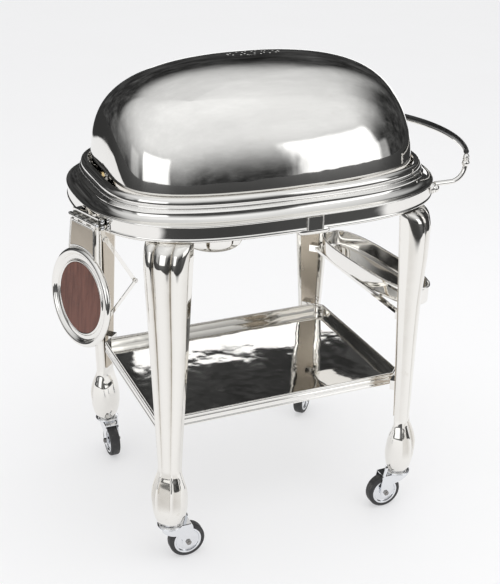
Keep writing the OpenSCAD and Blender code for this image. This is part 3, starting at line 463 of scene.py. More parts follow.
def domeBead():
    # half circle under the base line, carried along each side of the outline
    sides = 12
    x, y = domeOutline(dome["beadIn"], 150, dome["bushR"] + 0.3)
    dx, dy = np.gradient(x), np.gradient(y)
    length = np.hypot(dx, dy)
    a = np.radians(-180 + 180 * np.arange(sides + 1) / sides)
    r = dome["beadR"]
    points = np.stack([x[:, None] - (dy / length)[:, None] * -r * np.cos(a),
                       y[:, None] + (dx / length)[:, None] * -r * np.cos(a),
                       dome["axisZ"] + r * np.sin(a) + 0 * x[:, None]], -1)
    side = gridSurface(points)
    return [side] + moved([side], flip(y=-1))


def buildDome():
    shell = addPiece("domeCover", "dome", [domeShell()], silverPlate, ("dome_shell",), 40)
    cutter = addPiece("ventCutter", "dome", ventCutters(), silverPlate)
    vents = shell.modifiers.new("vents", "BOOLEAN")
    vents.operation, vents.object, vents.solver = "DIFFERENCE", cutter, "EXACT"
    depsgraph = bpy.context.evaluated_depsgraph_get()
    cut = bpy.data.meshes.new_from_object(shell.evaluated_get(depsgraph))
    shell.modifiers.clear()
    shell.data = cut
    cut.shade_smooth()
    cut.set_sharp_from_angle(angle=math.radians(40))
    bpy.data.objects.remove(cutter)
    addPiece("domeEdge", "dome", domeBead(), smoothPlate, ("dome_bead",))
    print("dome made:", len(cut.polygons), "faces")


def buildDomeHandle():
    # turned bar on two posts, on the chef's side
    h = dict(post=60.0, reach=278.0, angle=14.0, foot=246.6, halfBar=88.0)
    post = lathe(rounded([[0, h["foot"]], [12, h["foot"]], [12, 249], [8, 251.5], [5.2, 256], [4.6, 264],
                          [5.4, 271], [5.4, h["reach"]], [0, h["reach"]]], 1.2, 4, False), 40)
    s = np.linspace(-1, 1, 61)
    r = 6.2 + 1.8 * np.cos(s * 2.6) ** 2 + 1.5 * np.exp(-((abs(s) - 0.76) / 0.05) ** 2)
    ends = np.sqrt(np.clip(1 - ((abs(s) - 0.93) / 0.07).clip(0, 1) ** 2, 0, 1))
    turned = np.column_stack([r * np.maximum(ends, 0.02), s * h["halfBar"]]).tolist()
    bar = lathe([[0, -h["halfBar"] - 0.5], *turned, [0, h["halfBar"] + 0.5]], 40)
    parts = []
    for side in (-1, 1):
        parts += moved([post], shift(side * h["post"]) @ turn("X", -90))
    parts += moved([bar], shift(0, h["reach"]) @ turn("Y", 90))
    place = shift(0, 0, dome["axisZ"]) @ turn("X", h["angle"])
    addPiece("liftHandle", "dome", moved(parts, place), smoothPlate, ("dome_handle",))


buildDome()
buildDomeHandle()

# ---- rim
rim = dict(halfX=420.0, halfY=302.0, openX=361.0, openY=252.5, px=3.3, py=2.5, steps=336, bottom=784.0)


def rimPoint(inset, s):
    # outer oval |x/a|^n + |y/b|^m = 1; sizes and powers blend to the opening's as the inset grows
    q = inset / (rim["halfY"] - rim["openY"])
    a = rim["halfX"] + (rim["openX"] - rim["halfX"]) * q
    b = rim["halfY"] + (rim["openY"] - rim["halfY"]) * q
    n = rim["px"] + (dome["px"] - rim["px"]) * q
    m = rim["py"] + (dome["pr"] - rim["py"]) * q
    t = np.arctan2(b * np.sin(s), a * np.cos(s))
    # the radius along t is found by halving the range that it lies in
    low, high = np.zeros_like(t), np.full_like(t, 700.0)
    for _ in range(40):
        r = (low + high) / 2
        out = np.abs(r * np.cos(t) / a) ** n + np.abs(r * np.sin(t) / b) ** m > 1
        low, high = np.where(out, low, r), np.where(out, r, high)
    return r * np.cos(t), r * np.sin(t)


def rimRing(profile):
    # closed profile of [inset, height] carried round the oval
    p = np.array(profile, float)
    s = np.linspace(0, 2 * np.pi, rim["steps"], endpoint=False)[:, None] + 0 * p[:, 0]
    x, y = rimPoint(p[:, 0] + 0 * s, s)
    return gridSurface(np.stack([x, y, p[:, 1] + 0 * s], -1), closeRows=True)


def buildRim():
    # apron with its bead rolled under, cove over it, and the stepped moulding that meets the dome
    beadR, wallTop = 5.5, 817.2
    beadZ = rim["bottom"] + beadR
    apron = [[2, wallTop], [2, 808], [2, 796]] + curvePart((beadR, beadZ), beadR, 130, 360, 22)
    apron += curvePart((beadR, beadZ), beadR, 14, 90, 8) + [[4, beadZ + beadR], [4, wallTop]]
    addPiece("apronBand", "carriage", [rimRing(apron)], smoothPlate, ("rim_apron",))
    rise, run, startZ, sheet = 21.0, 26.0, 822.0, 3.2
    a = np.linspace(0, np.pi / 2, 26)
    top = np.column_stack([4 + run * np.sin(a), startZ + rise * (1 - np.cos(a))])
    # the underside draws in by the sheet's thickness towards the top
    under = top[1:] - np.column_stack([sheet * a[1:] / (np.pi / 2), np.full(len(a) - 1, sheet)])
    lip = [[3, wallTop], [0.9, wallTop + 0.2], [0, 819.5], [1.2, 821.6], [4, startZ]]
    edge = rounded(lip, [0, 1.2, 2.0, 1.2, 0], 5, False)
    cove = [*edge[::-1][1:].tolist(), *under.tolist(), *top[::-1].tolist()]
    addPiece("coveBand", "carriage", [rimRing(cove)], smoothPlate, ("rim_cove",))
    corners = [[30.3, 840.5], [33.5, 844], [36.5, 848], [37.5, 856], [39, 861], [42, 863.4], [46.4, 863.4],
               [49.5, 864.6], [46.2, 866], [43, 867], [39.6, 866], [36.6, 862.8], [34.8, 858], [34.6, 853.6],
               [35, 851], [33.4, 850.4], [31.8, 848.8], [31.2, 846.6], [31.8, 844.6], [30.3, 843.2]]
    radii = [0, 0, 0, 2, 2, 1, .4, .6, 1.4, 2.4, 2.4, 2.6, 2.0, .9, .3, .8, 1.3, 1.3, .3, .4]
    addPiece("steppedMoulding", "carriage", [rimRing(rounded(corners, radii, 4))], smoothPlate,
             ("rim_moulding",))


def buildSleeve():
    # joint strap on the apron, with a drawn lump under it
    s = dict(x=18.0, length=40.0, thick=1.6, low=786.0, high=820.0, ribR=1.1, lump=78.0, lumpR=10.0)
    y = -rim["halfY"]
    parts = [block((s["length"], s["thick"] + 1.2, s["high"] - s["low"] - 4),
                   (s["x"], y - s["thick"] / 2 + 0.6, (s["high"] + s["low"]) / 2 - 1))]
    for k in (-1, 1):
        ribX = s["x"] + k * (s["length"] / 2 - 2.4)
        ribZ = np.linspace(s["low"] + 1, s["high"] - 3.5, 12)
        parts.append(tube([[ribX, y - s["thick"], z] for z in ribZ], s["ribR"], 12))
    u = np.linspace(0, 1, 33)
    r = s["lumpR"] * np.sqrt(np.clip(1 - (2 * u - 1) ** 6, 0, 1)).clip(0.02)
    lump = lathe([[0, -0.2], *np.column_stack([r, u * s["lump"]]).tolist(), [0, s["lump"] + 0.2]], 40)
    low = moved([lump], shift(s["x"] - s["lump"] / 2, y + 8, rim["bottom"] + 0.5) @ turn("Y", 90))
    addPiece("apronSleeve", "carriage", parts + low, smoothPlate, ("rim_sleeve",), bevel=0.5)


buildRim()
buildSleeve()
print("rim made")

# ---- legs
# each list holds [height, size]: the leg's width, how far its outer and inner face lie from its axis, how
# deep flutes and scooped panels are, and the power of its inner corners; lobes and panels are shares of the
# half width, as [middle, half width] and [start, end]
leg = dict(x=300.0, y=257.0, foot=100.0, hoofTop=236.0, top=784.0, faceU=-14.0, faceZ=250.0,
           lean=math.degrees(math.atan(19 / 530)), power=0.8, middleLobe=(0.0, 0.4), sideLobe=(0.7, 0.3),
           panels=((-0.42, 0.42), (0.5, 0.92)), panelFade=0.07,
           width=[[100, 52], [104, 58], [112, 66], [125, 74], [145, 80], [170, 83], [195, 79], [215, 68],
                  [232, 57.5], [245, 53], [300, 58], [378, 67], [460, 76], [550, 85], [620, 91],
                  [684, 97], [730, 101], [765, 103], [776, 103], [784, 102]],
           outer=[[100, 22], [104, 26], [112, 30], [125, 33], [145, 36], [170, 37], [195, 33], [215, 26],
                  [232, 19.5], [245, 18], [300, 18.5], [378, 18.5], [460, 19], [550, 21], [620, 25],
                  [684, 28.5], [730, 29], [765, 22], [776, 14], [784, 2]],
           inner=[[100, -22], [104, -25], [112, -28], [125, -31], [145, -33], [170, -31], [195, -26],
                  [215, -19], [232, -14.5], [245, -13.82], [784, -33.14]],
           flute=[[100, 0], [236, 0], [250, 2.0], [300, 3.4], [400, 5.0], [550, 7.0], [700, 9.5], [784, 9]],
           scoop=[[100, 0], [140, 0], [150, 2.6], [162, 5.2], [195, 6.4], [218, 5], [232, 3.4], [244, 0],
                  [784, 0]],
           square=[[100, 2], [200, 2.2], [232, 4], [260, 12], [784, 12]])


def legPlace(sx, sy):
    # a leg's own frame: x outwards along the diagonal, y across it
    return flip(x=sx, y=sy) @ shift(leg["x"], leg["y"]) @ turn("Z", 45)


def legSurface():
    # outer half: superellipse cut back between three lobes, each lobe an arc; over the hoof the middle and
    # the sides are scooped out instead; inner half: a flat face with rounded corners
    hoof, shaft = np.linspace(leg["foot"], leg["faceZ"], 76), np.linspace(leg["faceZ"], leg["top"], 120)
    z = np.unique(np.concatenate([hoof, shaft]))[:, None]
    width, outer, inner = (smoothRow(z, leg[k]) for k in ("width", "outer", "inner"))
    flute, scoop, square = (smoothRow(z, leg[k]) for k in ("flute", "scoop", "square"))
    middle = inner + (outer - inner) * 0.4
    a = np.radians(np.linspace(-90, 90, 97))
    c = np.clip(np.cos(a), 0, None)
    across = np.abs(signedPow(np.sin(a), leg["power"]))
    (middleAt, middleHalf), (sideAt, sideHalf) = leg["middleLobe"], leg["sideLobe"]
    off = np.where(across < middleHalf, (across - middleAt) / middleHalf, (across - sideAt) / sideHalf)
    lobes = 1 - np.sqrt(np.clip(1 - off ** 2, 0, 1))
    panels, fade = np.zeros_like(across), leg["panelFade"]
    for first, last in leg["panels"]:
        panels += np.clip((across - first) / fade, 0, 1) * np.clip((last - across) / fade, 0, 1)
    cut = (flute * lobes + scoop * panels) * np.sqrt(c)
    outU = middle + (outer - middle) * c ** leg["power"] - cut
    outV = width / 2 * signedPow(np.sin(a), leg["power"])
    b = np.radians(np.linspace(90, 270, 41)[1:-1])
    p = 2 / square
    inU = middle - (middle - inner) * np.abs(np.cos(b)) ** p
    inV = width / 2 * signedPow(np.sin(b), p)
    u, v = np.hstack([outU, inU]), np.hstack([outV, inV])
    # painted shade: darkening in the flute valleys above the hoof, stronger higher up under the rim, and in
    # the hoof's scooped panels, standing in for shade and dark reflections there
    higher = (0.3 + 0.7 * np.clip((z - 260) / 260, 0, 1)) * (z > leg["hoofTop"])
    valleys = np.clip(lobes ** 1.3 * np.sqrt(c), 0, 1) * higher
    paintedShade = np.hstack([valleys + 0.5 * np.clip(scoop * panels * c / 6, 0, 1), 0 * inU])
    return gridSurface(np.stack([u, v, z + 0 * u], -1)), paintedShade.reshape(-1)


def legFace(sx, sy):
    # the same frame at the foot of the flat inner face, leaned with it
    return legPlace(sx, sy) @ shift(leg["faceU"], 0, leg["faceZ"]) @ turn("Y", -leg["lean"])


def buildLegs():
    surface, paintedShade = legSurface()
    half = np.array([[2, 19], [130, 21], [300, 26], [434, 32], [526, 38]], float)
    outline = np.vstack([half[:, ::-1], (half * [1, -1])[::-1, ::-1]])
    plate = moved([slab(rounded(outline, [4] * 10, 4), -2.0, 0.0)], turn("Z", 90) @ turn("X", 90))
    head = lathe([[0, 0], [4.4, 0], [4.4, 0.5], [3.4, 1.5], [1.6, 2.0], [0.6, 2.1], [0.6, 1.2], [0, 1.2]], 28)
    screw = moved([head], shift(-1.8) @ turn("Y", -90))
    plates = []
    for sx, name in ((-1, "left"), (1, "right")):
        for sy, side in ((-1, "front"), (1, "back")):
            node = f"leg_{side}_{name}"
            skin = moved([surface], legPlace(sx, sy))
            piece = addPiece(f"fluted_{node}", "carriage", skin, legPlate, (node,), 60)
            # the painted shade mask is stored on the mesh for the leg plate to darken its valleys
            layer = piece.data.attributes.new("paintedShade", "FLOAT", "POINT")
            layer.data.foreach_set("value", paintedShade.astype(np.float32))
            screws = [s for h in (24, 506) for s in moved(screw, shift(0, 0, h))]
            plates += moved(plate + screws, legFace(sx, sy))
    addPiece("legLiners", "carriage", plates, tarnishedPlate, ("leg_plates",), bevel=0.6)


buildLegs()
print("legs made")

# ---- undershelf
shelf = dict(halfX=313.0, halfY=218.0, chamfer=20.0, z=319.0)


def shelfOutline(inset):
    # rectangle with cut corners, drawn in by an inset; each cut shortens by 2 - sqrt(2), about 0.586, of it
    x, y = shelf["halfX"] - inset, shelf["halfY"] - inset
    c = shelf["chamfer"] - 0.586 * inset
    return np.array([[x, y - c], [x - c, y], [c - x, y], [-x, y - c],
                     [-x, c - y], [c - x, -y], [x - c, -y], [x, c - y]])


def buildShelf():
    z = shelf["z"]
    corners = [[0, z], [14, z], [14, z + 2], [3.6, z + 2], [3.6, z + 22], [5.2, z + 23], [6, z + 25.5],
               [5.2, z + 28], [3, z + 29], [0.8, z + 28], [0, z + 25], [0.8, z + 22], [2, z + 19.5],
               [0.5, z + 17], [0.5, z + 13], [1.5, z + 11], [1.5, z + 6], [0, z + 4]]
    radii = [1, .6, .6, .6, .8, 1.2, 1.6, 1.6, 1.6, 1.6, 1.6, 1, 1, 1, 1, 1, 1, 1]
    profile = rounded(corners, radii, 4)
    points = np.array([shelfOutline(i) for i in profile[:, 0]])      # profile x 8 x 2
    ring, bend = [], 2.0
    for k in range(8):
        # each corner of the outline gets a small bend instead of a knife edge
        here, before, after = points[:, k], points[:, k - 1], points[:, (k + 1) % 8]
        for q in (0.0, 0.5, 1.0):
            d1 = (before - here) / np.linalg.norm(before - here, axis=1)[:, None]
            d2 = (after - here) / np.linalg.norm(after - here, axis=1)[:, None]
            p = (1 - q) ** 2 * (here + d1 * bend) + 2 * q * (1 - q) * here + q ** 2 * (here + d2 * bend)
            ring.append(np.column_stack([p, profile[:, 1]]))
    rail = gridSurface(np.array(ring), closeRows=True)
    addPiece("shelfRail", "carriage", [rail], smoothPlate, ("shelf_rail",), 38)
    floor = slab(shelfOutline(3.8), z + 2, z + 4)
    addPiece("shelfFloor", "carriage", [floor], shelfPlate, ("shelf_tray",))


buildShelf()
print("shelf made")

# ---- casters
caster = dict(wheelR=42.75, width=26.0, discR=33.0, shoulder=6.0, boreR=4.05, trail=38.0, gap=1.6, sheet=3.0,
              turns={(-1, -1): 0, (1, -1): 180, (-1, 1): -90, (1, 1): -135})


def casterPlace(sx, sy):
    # a caster's own frame under its leg, with x the way it trails
    return shift(sx * leg["x"], sy * leg["y"]) @ turn("Z", caster["turns"][sx, sy])


def forkParts():
    # turned crown and stem, two cheeks, the bridge between them and a stop lug
    r, t = caster["wheelR"], caster["trail"]
    crown = 2 * r + 2.5
    inside, sheet = caster["width"] / 2 + caster["gap"], caster["sheet"]
    head = lathe(rounded([[0, crown], [22, crown], [27, crown + 1], [31, crown + 5], [29, crown + 8],
                          [16, 97.4], [6, 97.4], [6, 138], [5, 139], [0, 139]],
                         [0, 1, 3, 3, 3, 2, .5, .6, .6, 0], 5, False), 72)
    corners = [[-24, crown + 3], [-25, crown - 2], [-16, crown - 12], [0, crown - 21], [18, crown - 24]]
    corners += curvePart((t, r), 14, 160, 375, 28) + [[t + 14, 60], [t + 12, crown - 4], [t + 9, crown + 3]]
    outline = rounded(corners, [2, 3, 8, 8, 6] + [0] * 28 + [6, 5, 2], 5)
    cheek = moved([slab(outline, 0, sheet)], turn("X", 90))
    parts = [head, block((71, 2 * (inside + sheet) - 0.1, 3), (11.5, 0, crown + 1.5))]
    parts += moved(cheek, shift(0, inside + sheet)) + moved(cheek, shift(0, -inside))
    lug = block((7, sheet - 0.1, 24), (3.5, sheet / 2, 12))
    return parts + moved([lug], shift(42, inside, crown + 2) @ turn("Y", -12))


def buildCasters():
    # tyre, disc and axle are turned round z, then laid across the fork
    w, r, d, bore, soft = (caster[k] for k in ("width", "wheelR", "discR", "boreR", "shoulder"))
    w = w / 2
    edge = np.array(curvePart((r - soft, w - soft), soft, 0, 90, 9))
    tyreOutline = [[d, -w + 1], [d + 1.4, -w + 0.2], [d + 3, -w], *(edge[::-1] * [1, -1]).tolist(),
                   *edge.tolist(), [d + 3, w], [d + 1.4, w - 0.2], [d, w - 1]]
    tyre = lathe(tyreOutline, 120)
    hub = rounded([[bore, -w - 1], [9, -w - 1], [11, -w + 3], [27, -w + 5], [29, -w + 0.6], [d, -w + 0.6],
                   [d, w - 0.6], [29, w - 0.6], [27, w - 5], [11, w - 3], [9, w + 1], [bore, w + 1]],
                  [.4, 1, 2, 2, 1, .6, .6, 1, 2, 2, 1, .4], 4)
    wheel = lathe(hub, 96)
    inside = w + caster["gap"] + caster["sheet"]
    end = inside + 4
    rod = lathe(rounded([[0, -end], [4, -end], [4, end], [0, end]], [0, .6, .6, 0], 3, False), 32)
    nut = slab([[6.8 * math.cos(k * math.pi / 3), 6.8 * math.sin(k * math.pi / 3)] for k in range(6)],
               inside, end)
    cap = lathe([[0, end], [4, end], [4, end + 1.1], [3.1, end + 1.6], [0, end + 1.6]], 28)
    ends = [nut, cap]
    axle = [rod] + ends + moved(ends, flip(z=-1))
    for sx, name in ((-1, "left"), (1, "right")):
        for sy, side in ((-1, "front"), (1, "back")):
            spot = f"{side}_{name}"
            middle = casterPlace(sx, sy) @ shift(caster["trail"], 0, r) @ turn("X", 90)
            roller, fork = f"roller_{spot}", f"caster_{spot}"
            rubber, disc, rods = moved([tyre], middle), moved([wheel], middle), moved(axle, middle)
            hood = moved(forkParts(), casterPlace(sx, sy))
            addPiece(f"rubber_{spot}", roller, rubber, tyreRubber, (f"tyre_{spot}",))
            addPiece(f"disc_{spot}", roller, disc, casterChrome, (f"wheel_{spot}",))
            addPiece(f"axle_{spot}", fork, rods, darkSteel, (f"axles_{spot}",), bevel=0.4)
            addPiece(f"hood_{spot}", fork, hood, casterChrome, (f"fork_{spot}",), bevel=0.7)


buildCasters()
print("casters made")

# ---- push handle
grip = dict(armX=371.0, armY=203.0, armZ=816.0, armR=6.0, bendR=36.0, postX=450.0, reach=510.0, gripZ=880.0,
            barDrop=7.0, barR=4.6, gripR=6.6, free=1.6, bossX=363.5, bossY=205.0, bossZ=808.0, bossTurn=39.4,
            ballR=7.2)


def gripPath(angle, height, steps):
    # arc in plan through both posts and the middle of the grip
    bow = grip["reach"] - grip["postX"]
    radius = (grip["armY"] ** 2 + bow ** 2) / (2 * bow)
    most = math.asin(grip["armY"] / radius) - math.radians(angle)
    a = np.linspace(-most, most, steps)
    return np.column_stack([grip["reach"] - radius + radius * np.cos(a), radius * np.sin(a), 0 * a + height])


def buildPushHandle():
    y, z, bend, post = grip["armY"], grip["armZ"], grip["bendR"], grip["postX"]
    barZ = grip["gripZ"] - grip["barDrop"]
    corner = curvePart((post - bend, z + bend), bend, -90, 0, 20)
    path = [[grip["armX"], 0, z], [grip["armX"] + 19, 0, z]] + [[p[0], 0, p[1]] for p in corner]
    path += [[post, 0, z + bend + 3]]
    arm = tube(path, grip["armR"], 32)
    collars = [[0, 0]] + curvePart((0, 6), 9, -46, 46, 14)
    collars += [[5, 13.4], [7.4, 13.8], [8, 15], [7.4, 16.2], [5.4, 16.4], [5.4, 17.8], [7, 18.2],
                [7.4, 19.4], [7, 20.6], [5, 21], [0, 21]]
    radii = [0] * 15 + [.3, .8, .8, .8, .3, .3, .6, .7, .6, .6, 0]
    turned = lathe(rounded(collars, radii, 3, False), 48)
    ballR = grip["ballR"]
    ball = lathe([[0, -ballR]] + curvePart((0, 0), ballR, -84, 84, 22) + [[0, ballR]], 40)
    parts = []
    for m in (1, -1):
        parts += moved([arm], flip(y=m) @ shift(0, y))
        parts += moved([turned], shift(post, m * y, z + bend))
        parts += moved([ball], shift(post, m * y, barZ))
    parts.append(tube(gripPath(0, barZ, 90), grip["barR"], 24))
    addPiece("handleArms", "carriage", parts, smoothPlate, ("handle_arms",), 45)
    path = gripPath(grip["free"], grip["gripZ"], 121)
    away = np.concatenate([[0], np.cumsum(np.linalg.norm(np.diff(path, axis=0), axis=1))])
    near = np.minimum(away, away[-1] - away)
    # the sleeve swells a little in the middle and closes with a rounded end
    swell = grip["gripR"] * (0.94 + 0.06 * np.minimum(1, near / 120))
    swell = swell * np.sqrt(1 - (1 - np.minimum(1, near / 4)) ** 2 * 0.6)
    addPiece("gripSleeve", "carriage", [tube(path, swell, 28)], blackGrip, ("handle_grip",), 50)
    outline = [[0, 0.2], [14, 0.2], [14, 3.4], [12.2, 4.2], [12.6, 5.6], [10.6, 7.2], [9.4, 8.6], [9.6, 11],
               [8.4, 13.6], [5, 16], [2.6, 16.6], [0, 16.6]]
    boss = lathe(rounded(outline, [0, .4, .8, .4, .8, .8, .8, 1.4, 2, 2, 1, 0], 4, False), 48)
    place = shift(grip["bossX"], grip["bossY"], grip["bossZ"]) @ turn("Z", grip["bossTurn"]) @ turn("Y", 90)
    bosses = moved([boss], place) + moved([boss], flip(y=-1) @ place)
    addPiece("handleBosses", "carriage", bosses, smoothPlate, ("handle_bosses",))


buildPushHandle()
print("push handle made")

# ---- plate rest and its folding stay
rest = dict(at=(-430.0, -110.0, 803.0), turned=198.0, lean=5.5, ringR=110.0, drop=176.0, discR=78.0, lip=7.0,
            neckTop=46.0, neckLow=50.0, plate=5.0, knuckles=6, knuckleL=16.0, knuckleR=5.0, gap=0.3,
            anchor=(-20.0, -35.0), link=130.0, linkT=3.0, linkY=52.0, rho=232.0, back=14.0)


def restPlace():
    # the hinge's middle, its pin along y
    return shift(*rest["at"]) @ turn("Z", rest["turned"])


def restHang():
    # the same place, leaned as the plate rest hangs
    return restPlace() @ turn("Y", -rest["lean"])


def neckOutline(inset):
    # trapezium with an arc cut out of its foot, drawn in by an inset
    top, low = rest["neckTop"] - inset, rest["neckLow"] - inset
    y = np.linspace(low, -low, 25)
    arc = np.column_stack([y, -rest["drop"] + np.sqrt((rest["ringR"] + inset) ** 2 - y ** 2)])
    corners = [[-low, arc[-1, 1]], [-top, -7 - inset], [top, -7 - inset], [low, arc[0, 1]]]
    return np.vstack([rounded(corners, [0, 3, 3, 0], 4, False)[1:-1], arc])


def knucklePart(k):
    # one barrel of the hinge, bored for its pin
    length = rest["knuckleL"] - rest["gap"]
    r = rest["knuckleR"]
    barrel = lathe(rounded([[2.55, 0], [r, 0], [r, length], [2.55, length]], [0.2, 0.7, 0.7, 0.2], 3), 36)
    start = (k - rest["knuckles"] / 2) * rest["knuckleL"] + rest["gap"] / 2
    return moved([barrel], shift(0, start) @ turn("X", -90))[0]


def standing(outline, low, high):
    # outline in the plane across the hinge's normal, given a thickness along it
    return moved([slab(outline, low, high)], turn("Z", 90) @ turn("X", 90))


def buildPlateRest():
    # neck plate with two raised beads and the hinge's knuckles, its panel, the ring with its lug, the disc
    t = rest["plate"] / 2
    parts = standing(neckOutline(0), -t, t - 0.9)
    for inset, beadR in ((1.8, 1.25), (5.8, 0.85)):
        line = neckOutline(inset)
        path = np.column_stack([np.full(len(line), t - 0.7), line])
        parts.append(tube(path, beadR, 12, closed=True))
    for k in range(1, rest["knuckles"], 2):
        parts.append(knucklePart(k))
        start = (k - rest["knuckles"] / 2) * rest["knuckleL"]
        root = (2 * t, rest["knuckleL"] - 2 * rest["gap"], 5)
        parts.append(block(root, (0, start + rest["knuckleL"] / 2, -5.4)))
    neck = moved(parts, restHang())
    addPiece("restNeck", "plate_rest", neck, smoothPlate, ("rest_frame",), 40)
    panel = standing(neckOutline(6.6), t - 1.2, t - 0.5)
    addPiece("restPanel", "plate_rest", moved(panel, restHang()), tarnishedPlate, (), 40)

    lip, r, disc = rest["lip"], rest["ringR"], rest["discR"]
    mid = r - lip
    face = [[0, -6.2], [mid - 5, -6.2]] + curvePart((mid, 0), lip, -130, 152, 40)
    face += [[mid - lip - 1, 1.8], [mid - lip - 2.4, -0.6], [mid - lip - 4.2, -1.2], [disc + 6.4, -1.2],
             [disc + 5.4, 0.6], [disc + 3.6, 1.8], [disc + 1.4, 1.8], [disc + 0.4, 0.6], [disc + 0.3, -3.4],
             [0, -3.4]]
    radii = [0, 1.5] + [0] * 40 + [.8, .8, .8, .8, 1, 1, 1, .6, .2, 0]
    ring = moved([lathe(rounded(face, radii, 4, False), 160)], shift(0, 0, -rest["drop"]) @ turn("Y", 90))
    y0 = rest["linkY"] + 2 * rest["linkT"] + 2 * rest["gap"]
    pinY = y0 - rest["linkT"] - 2 * rest["gap"]
    eye = lathe([[0, 0], [5.5, 0], [5.5, 3], [0, 3]], 32)
    pin = lathe([[0, 0], [2.5, 0], [2.5, 4.6], [0, 4.6]], 24)
    lug = moved([eye], shift(-rest["back"], y0, -rest["rho"]) @ turn("X", -90))
    lug += [block((rest["back"] - 4, 3, 11), (-rest["back"] / 2 - 2, y0 + 1.5, -rest["rho"]))]
    lug += moved([pin], shift(-rest["back"], pinY, -rest["rho"]) @ turn("X", -90))
    ring = moved(ring + lug, restHang())
    addPiece("restRing", "plate_rest", ring, smoothPlate, ("rest_ring",), 40)
    wood = lathe(rounded([[0, -3.4], [disc, -3.4], [disc, 1.0], [0, 1.0]], [0, .3, .9, 0], 4, False), 160)
    place = restHang() @ shift(0, 0, -rest["drop"]) @ turn("Y", 90)
    addPiece("restDisc", "plate_rest", moved([wood], place), discWood, ("rest_disc",), 40)


def linkOutline(length):
    # straight strap with a round eye at each end
    low = np.array(curvePart((0, 0), 6, 132, 408, 26))
    high = np.array(curvePart((0, length), 6, -48, 228, 26))
    return np.vstack([low, high])


def buildStay():
    # two straps from a, on the carriage, and b, on the plate rest, that meet at the elbow
    lean = math.radians(rest["lean"])
    a = np.array(rest["anchor"])
    b = np.array([rest["rho"] * math.sin(lean) - rest["back"] * math.cos(lean),
                  -rest["rho"] * math.cos(lean) - rest["back"] * math.sin(lean)])
    span = np.linalg.norm(b - a)
    u = (b - a) / span
    rise = math.sqrt(rest["link"] ** 2 - span ** 2 / 4)
    elbow = (a + b) / 2 + rise * np.array([u[1], -u[0]])
    strap = moved([slab(linkOutline(rest["link"]), 0, rest["linkT"])], turn("X", 90) @ flip(z=-1))
    rivet = lathe([[0, -0.2], [4.2, -0.2], [4.1, 0.5], [3.3, 1.2], [1.8, 1.6], [0, 1.7]], 32)
    footY = rest["linkY"] + rest["linkT"] + rest["gap"]
    for name, body, node, start, y, out in (("stayTop", "upper_stay", "stay_upper", a, rest["linkY"], -1),
                                            ("stayFoot", "lower_stay", "stay_lower", b, footY, 1)):
        d = elbow - start
        angle = math.degrees(math.atan2(d[0], d[1]))
        parts = moved(strap, shift(start[0], y, start[1]) @ turn("Y", angle))
        side = y if out < 0 else y + rest["linkT"]
        parts += moved([rivet], shift(elbow[0], side, elbow[1]) @ turn("X", -90 * out))
        addPiece(name, body, moved(parts, restPlace()), smoothPlate, (node,), 40, bevel=0.4)
    # screws that hold the leaf and the stay's bracket
    screw = lathe([[0, -0.5], [4.6, -0.5], [4.5, 0.6], [3.4, 1.5], [1.6, 2.0], [0.7, 2.1], [0.6, 1.4],
                   [0, 1.4]], 30)
    screws = []
    for place in ((-5.4, -38, -9.6), (-5.4, -6, -9.6), (-5.4, 26, -9.6)):
        screws += moved([screw], shift(*place) @ turn("Y", 90))
    for place in ((-13.6, 51.7, 5.5), (-13.6, 51.7, -8.5)):
        screws += moved([screw], shift(*place) @ turn("X", -90))
    addPiece("restScrews", "carriage", moved(screws, restPlace()), casterChrome, (), 40)


buildPlateRest()
buildStay()
print("plate rest made")

# ---- tool tray
tray = dict(length=420.0, width=116.0, height=46.0, z=514.0, middleX=343.0, turned=4.0, power=2.8, wall=2.0)


def trayRing(grow, height, n=180):
    # |x/a|^p + |y/b|^p = 1 at one height, grown by an amount
    t = np.linspace(0, 2 * np.pi, n, endpoint=False)
    p = 2 / tray["power"]
    return np.column_stack([(tray["width"] / 2 + grow) * signedPow(np.cos(t), p),
                            (tray["length"] / 2 + grow) * signedPow(np.sin(t), p), np.full(n, height)])


def buildToolTray():
    # steps holds [growth, height] of the rings, up the outer wall, round the bead and down the inner wall
    h, w = tray["height"], tray["wall"]
    bead = curvePart((0.4, h - 2.4), 2.3, -115, 165, 15)
    steps = [[-14, 0], [-6, 0], [-2.2, 1.2], [-0.6, 4], [0, 8], [0, h - 8]] + bead
    steps += [[-w, h - 4], [-w, 10], [-w - 1, 5.5], [-w - 4, 2.8], [-w - 10, w]]
    rows = np.array([trayRing(g, z) for g, z in steps])
    place = shift(tray["middleX"], 0, tray["z"]) @ turn("Z", tray["turned"])
    trough = moved([gridSurface(rows)], place)
    addPiece("toolTray", "carriage", trough, smoothPlate, ("tool_tray",), 40)


buildToolTray()
print("tool tray made")

# ---- burners and wells; a burner's numbers are its x, height, dish radius and dish depth
heater = dict(large=(-95.0, 657.0, 74.0, 42.0), small=(150.0, 662.0, 46.0, 36.0), wall=1.5)
well = dict(x=215.0, y=82.0, r=54.0, z=848.3)


def buildBurners():
    t = heater["wall"]
    dishes, cans = [], []
    for x, z, r, h in (heater["large"], heater["small"]):
        profile = [[0, 0], [r * 0.6, 0], [r * 0.84, 5], [r * 0.95, 15], [r, h - 3]]
        profile += curvePart((r + 1.2, h - 1.6), 1.8, -130, 150, 10)
        profile += [[r - t, h - 4], [r * 0.95 - t, 16], [r * 0.84 - 0.6, 6.8], [r * 0.6, t], [0, t]]
        bends = [0, 5, 8, 10, 1] + [0] * 10 + [1, 8, 8, 5, 0]
        dishes += moved([lathe(rounded(profile, bends, 5, False), 96)], shift(x, 0, z))
        c = r * 0.55
        body = [[0, 0], [c, 0], [c, 20], [c - 4, 25], [13, 26], [13, 30], [10, 30], [10, 33], [7, 33],
                [7, 28], [0, 28]]
        can = lathe(rounded(body, [0, 1, 3, 3, 1, .6, .4, .6, .4, .4, 0], 4, False), 72)
        cans += moved([can], shift(x, 0, z + t))
    addPiece("burnerDishes", "carriage", dishes, smoothPlate, ("burner_dishes",), 40)
    addPiece("burnerCans", "carriage", cans, spunBrass, ("burner_cans",), 40)


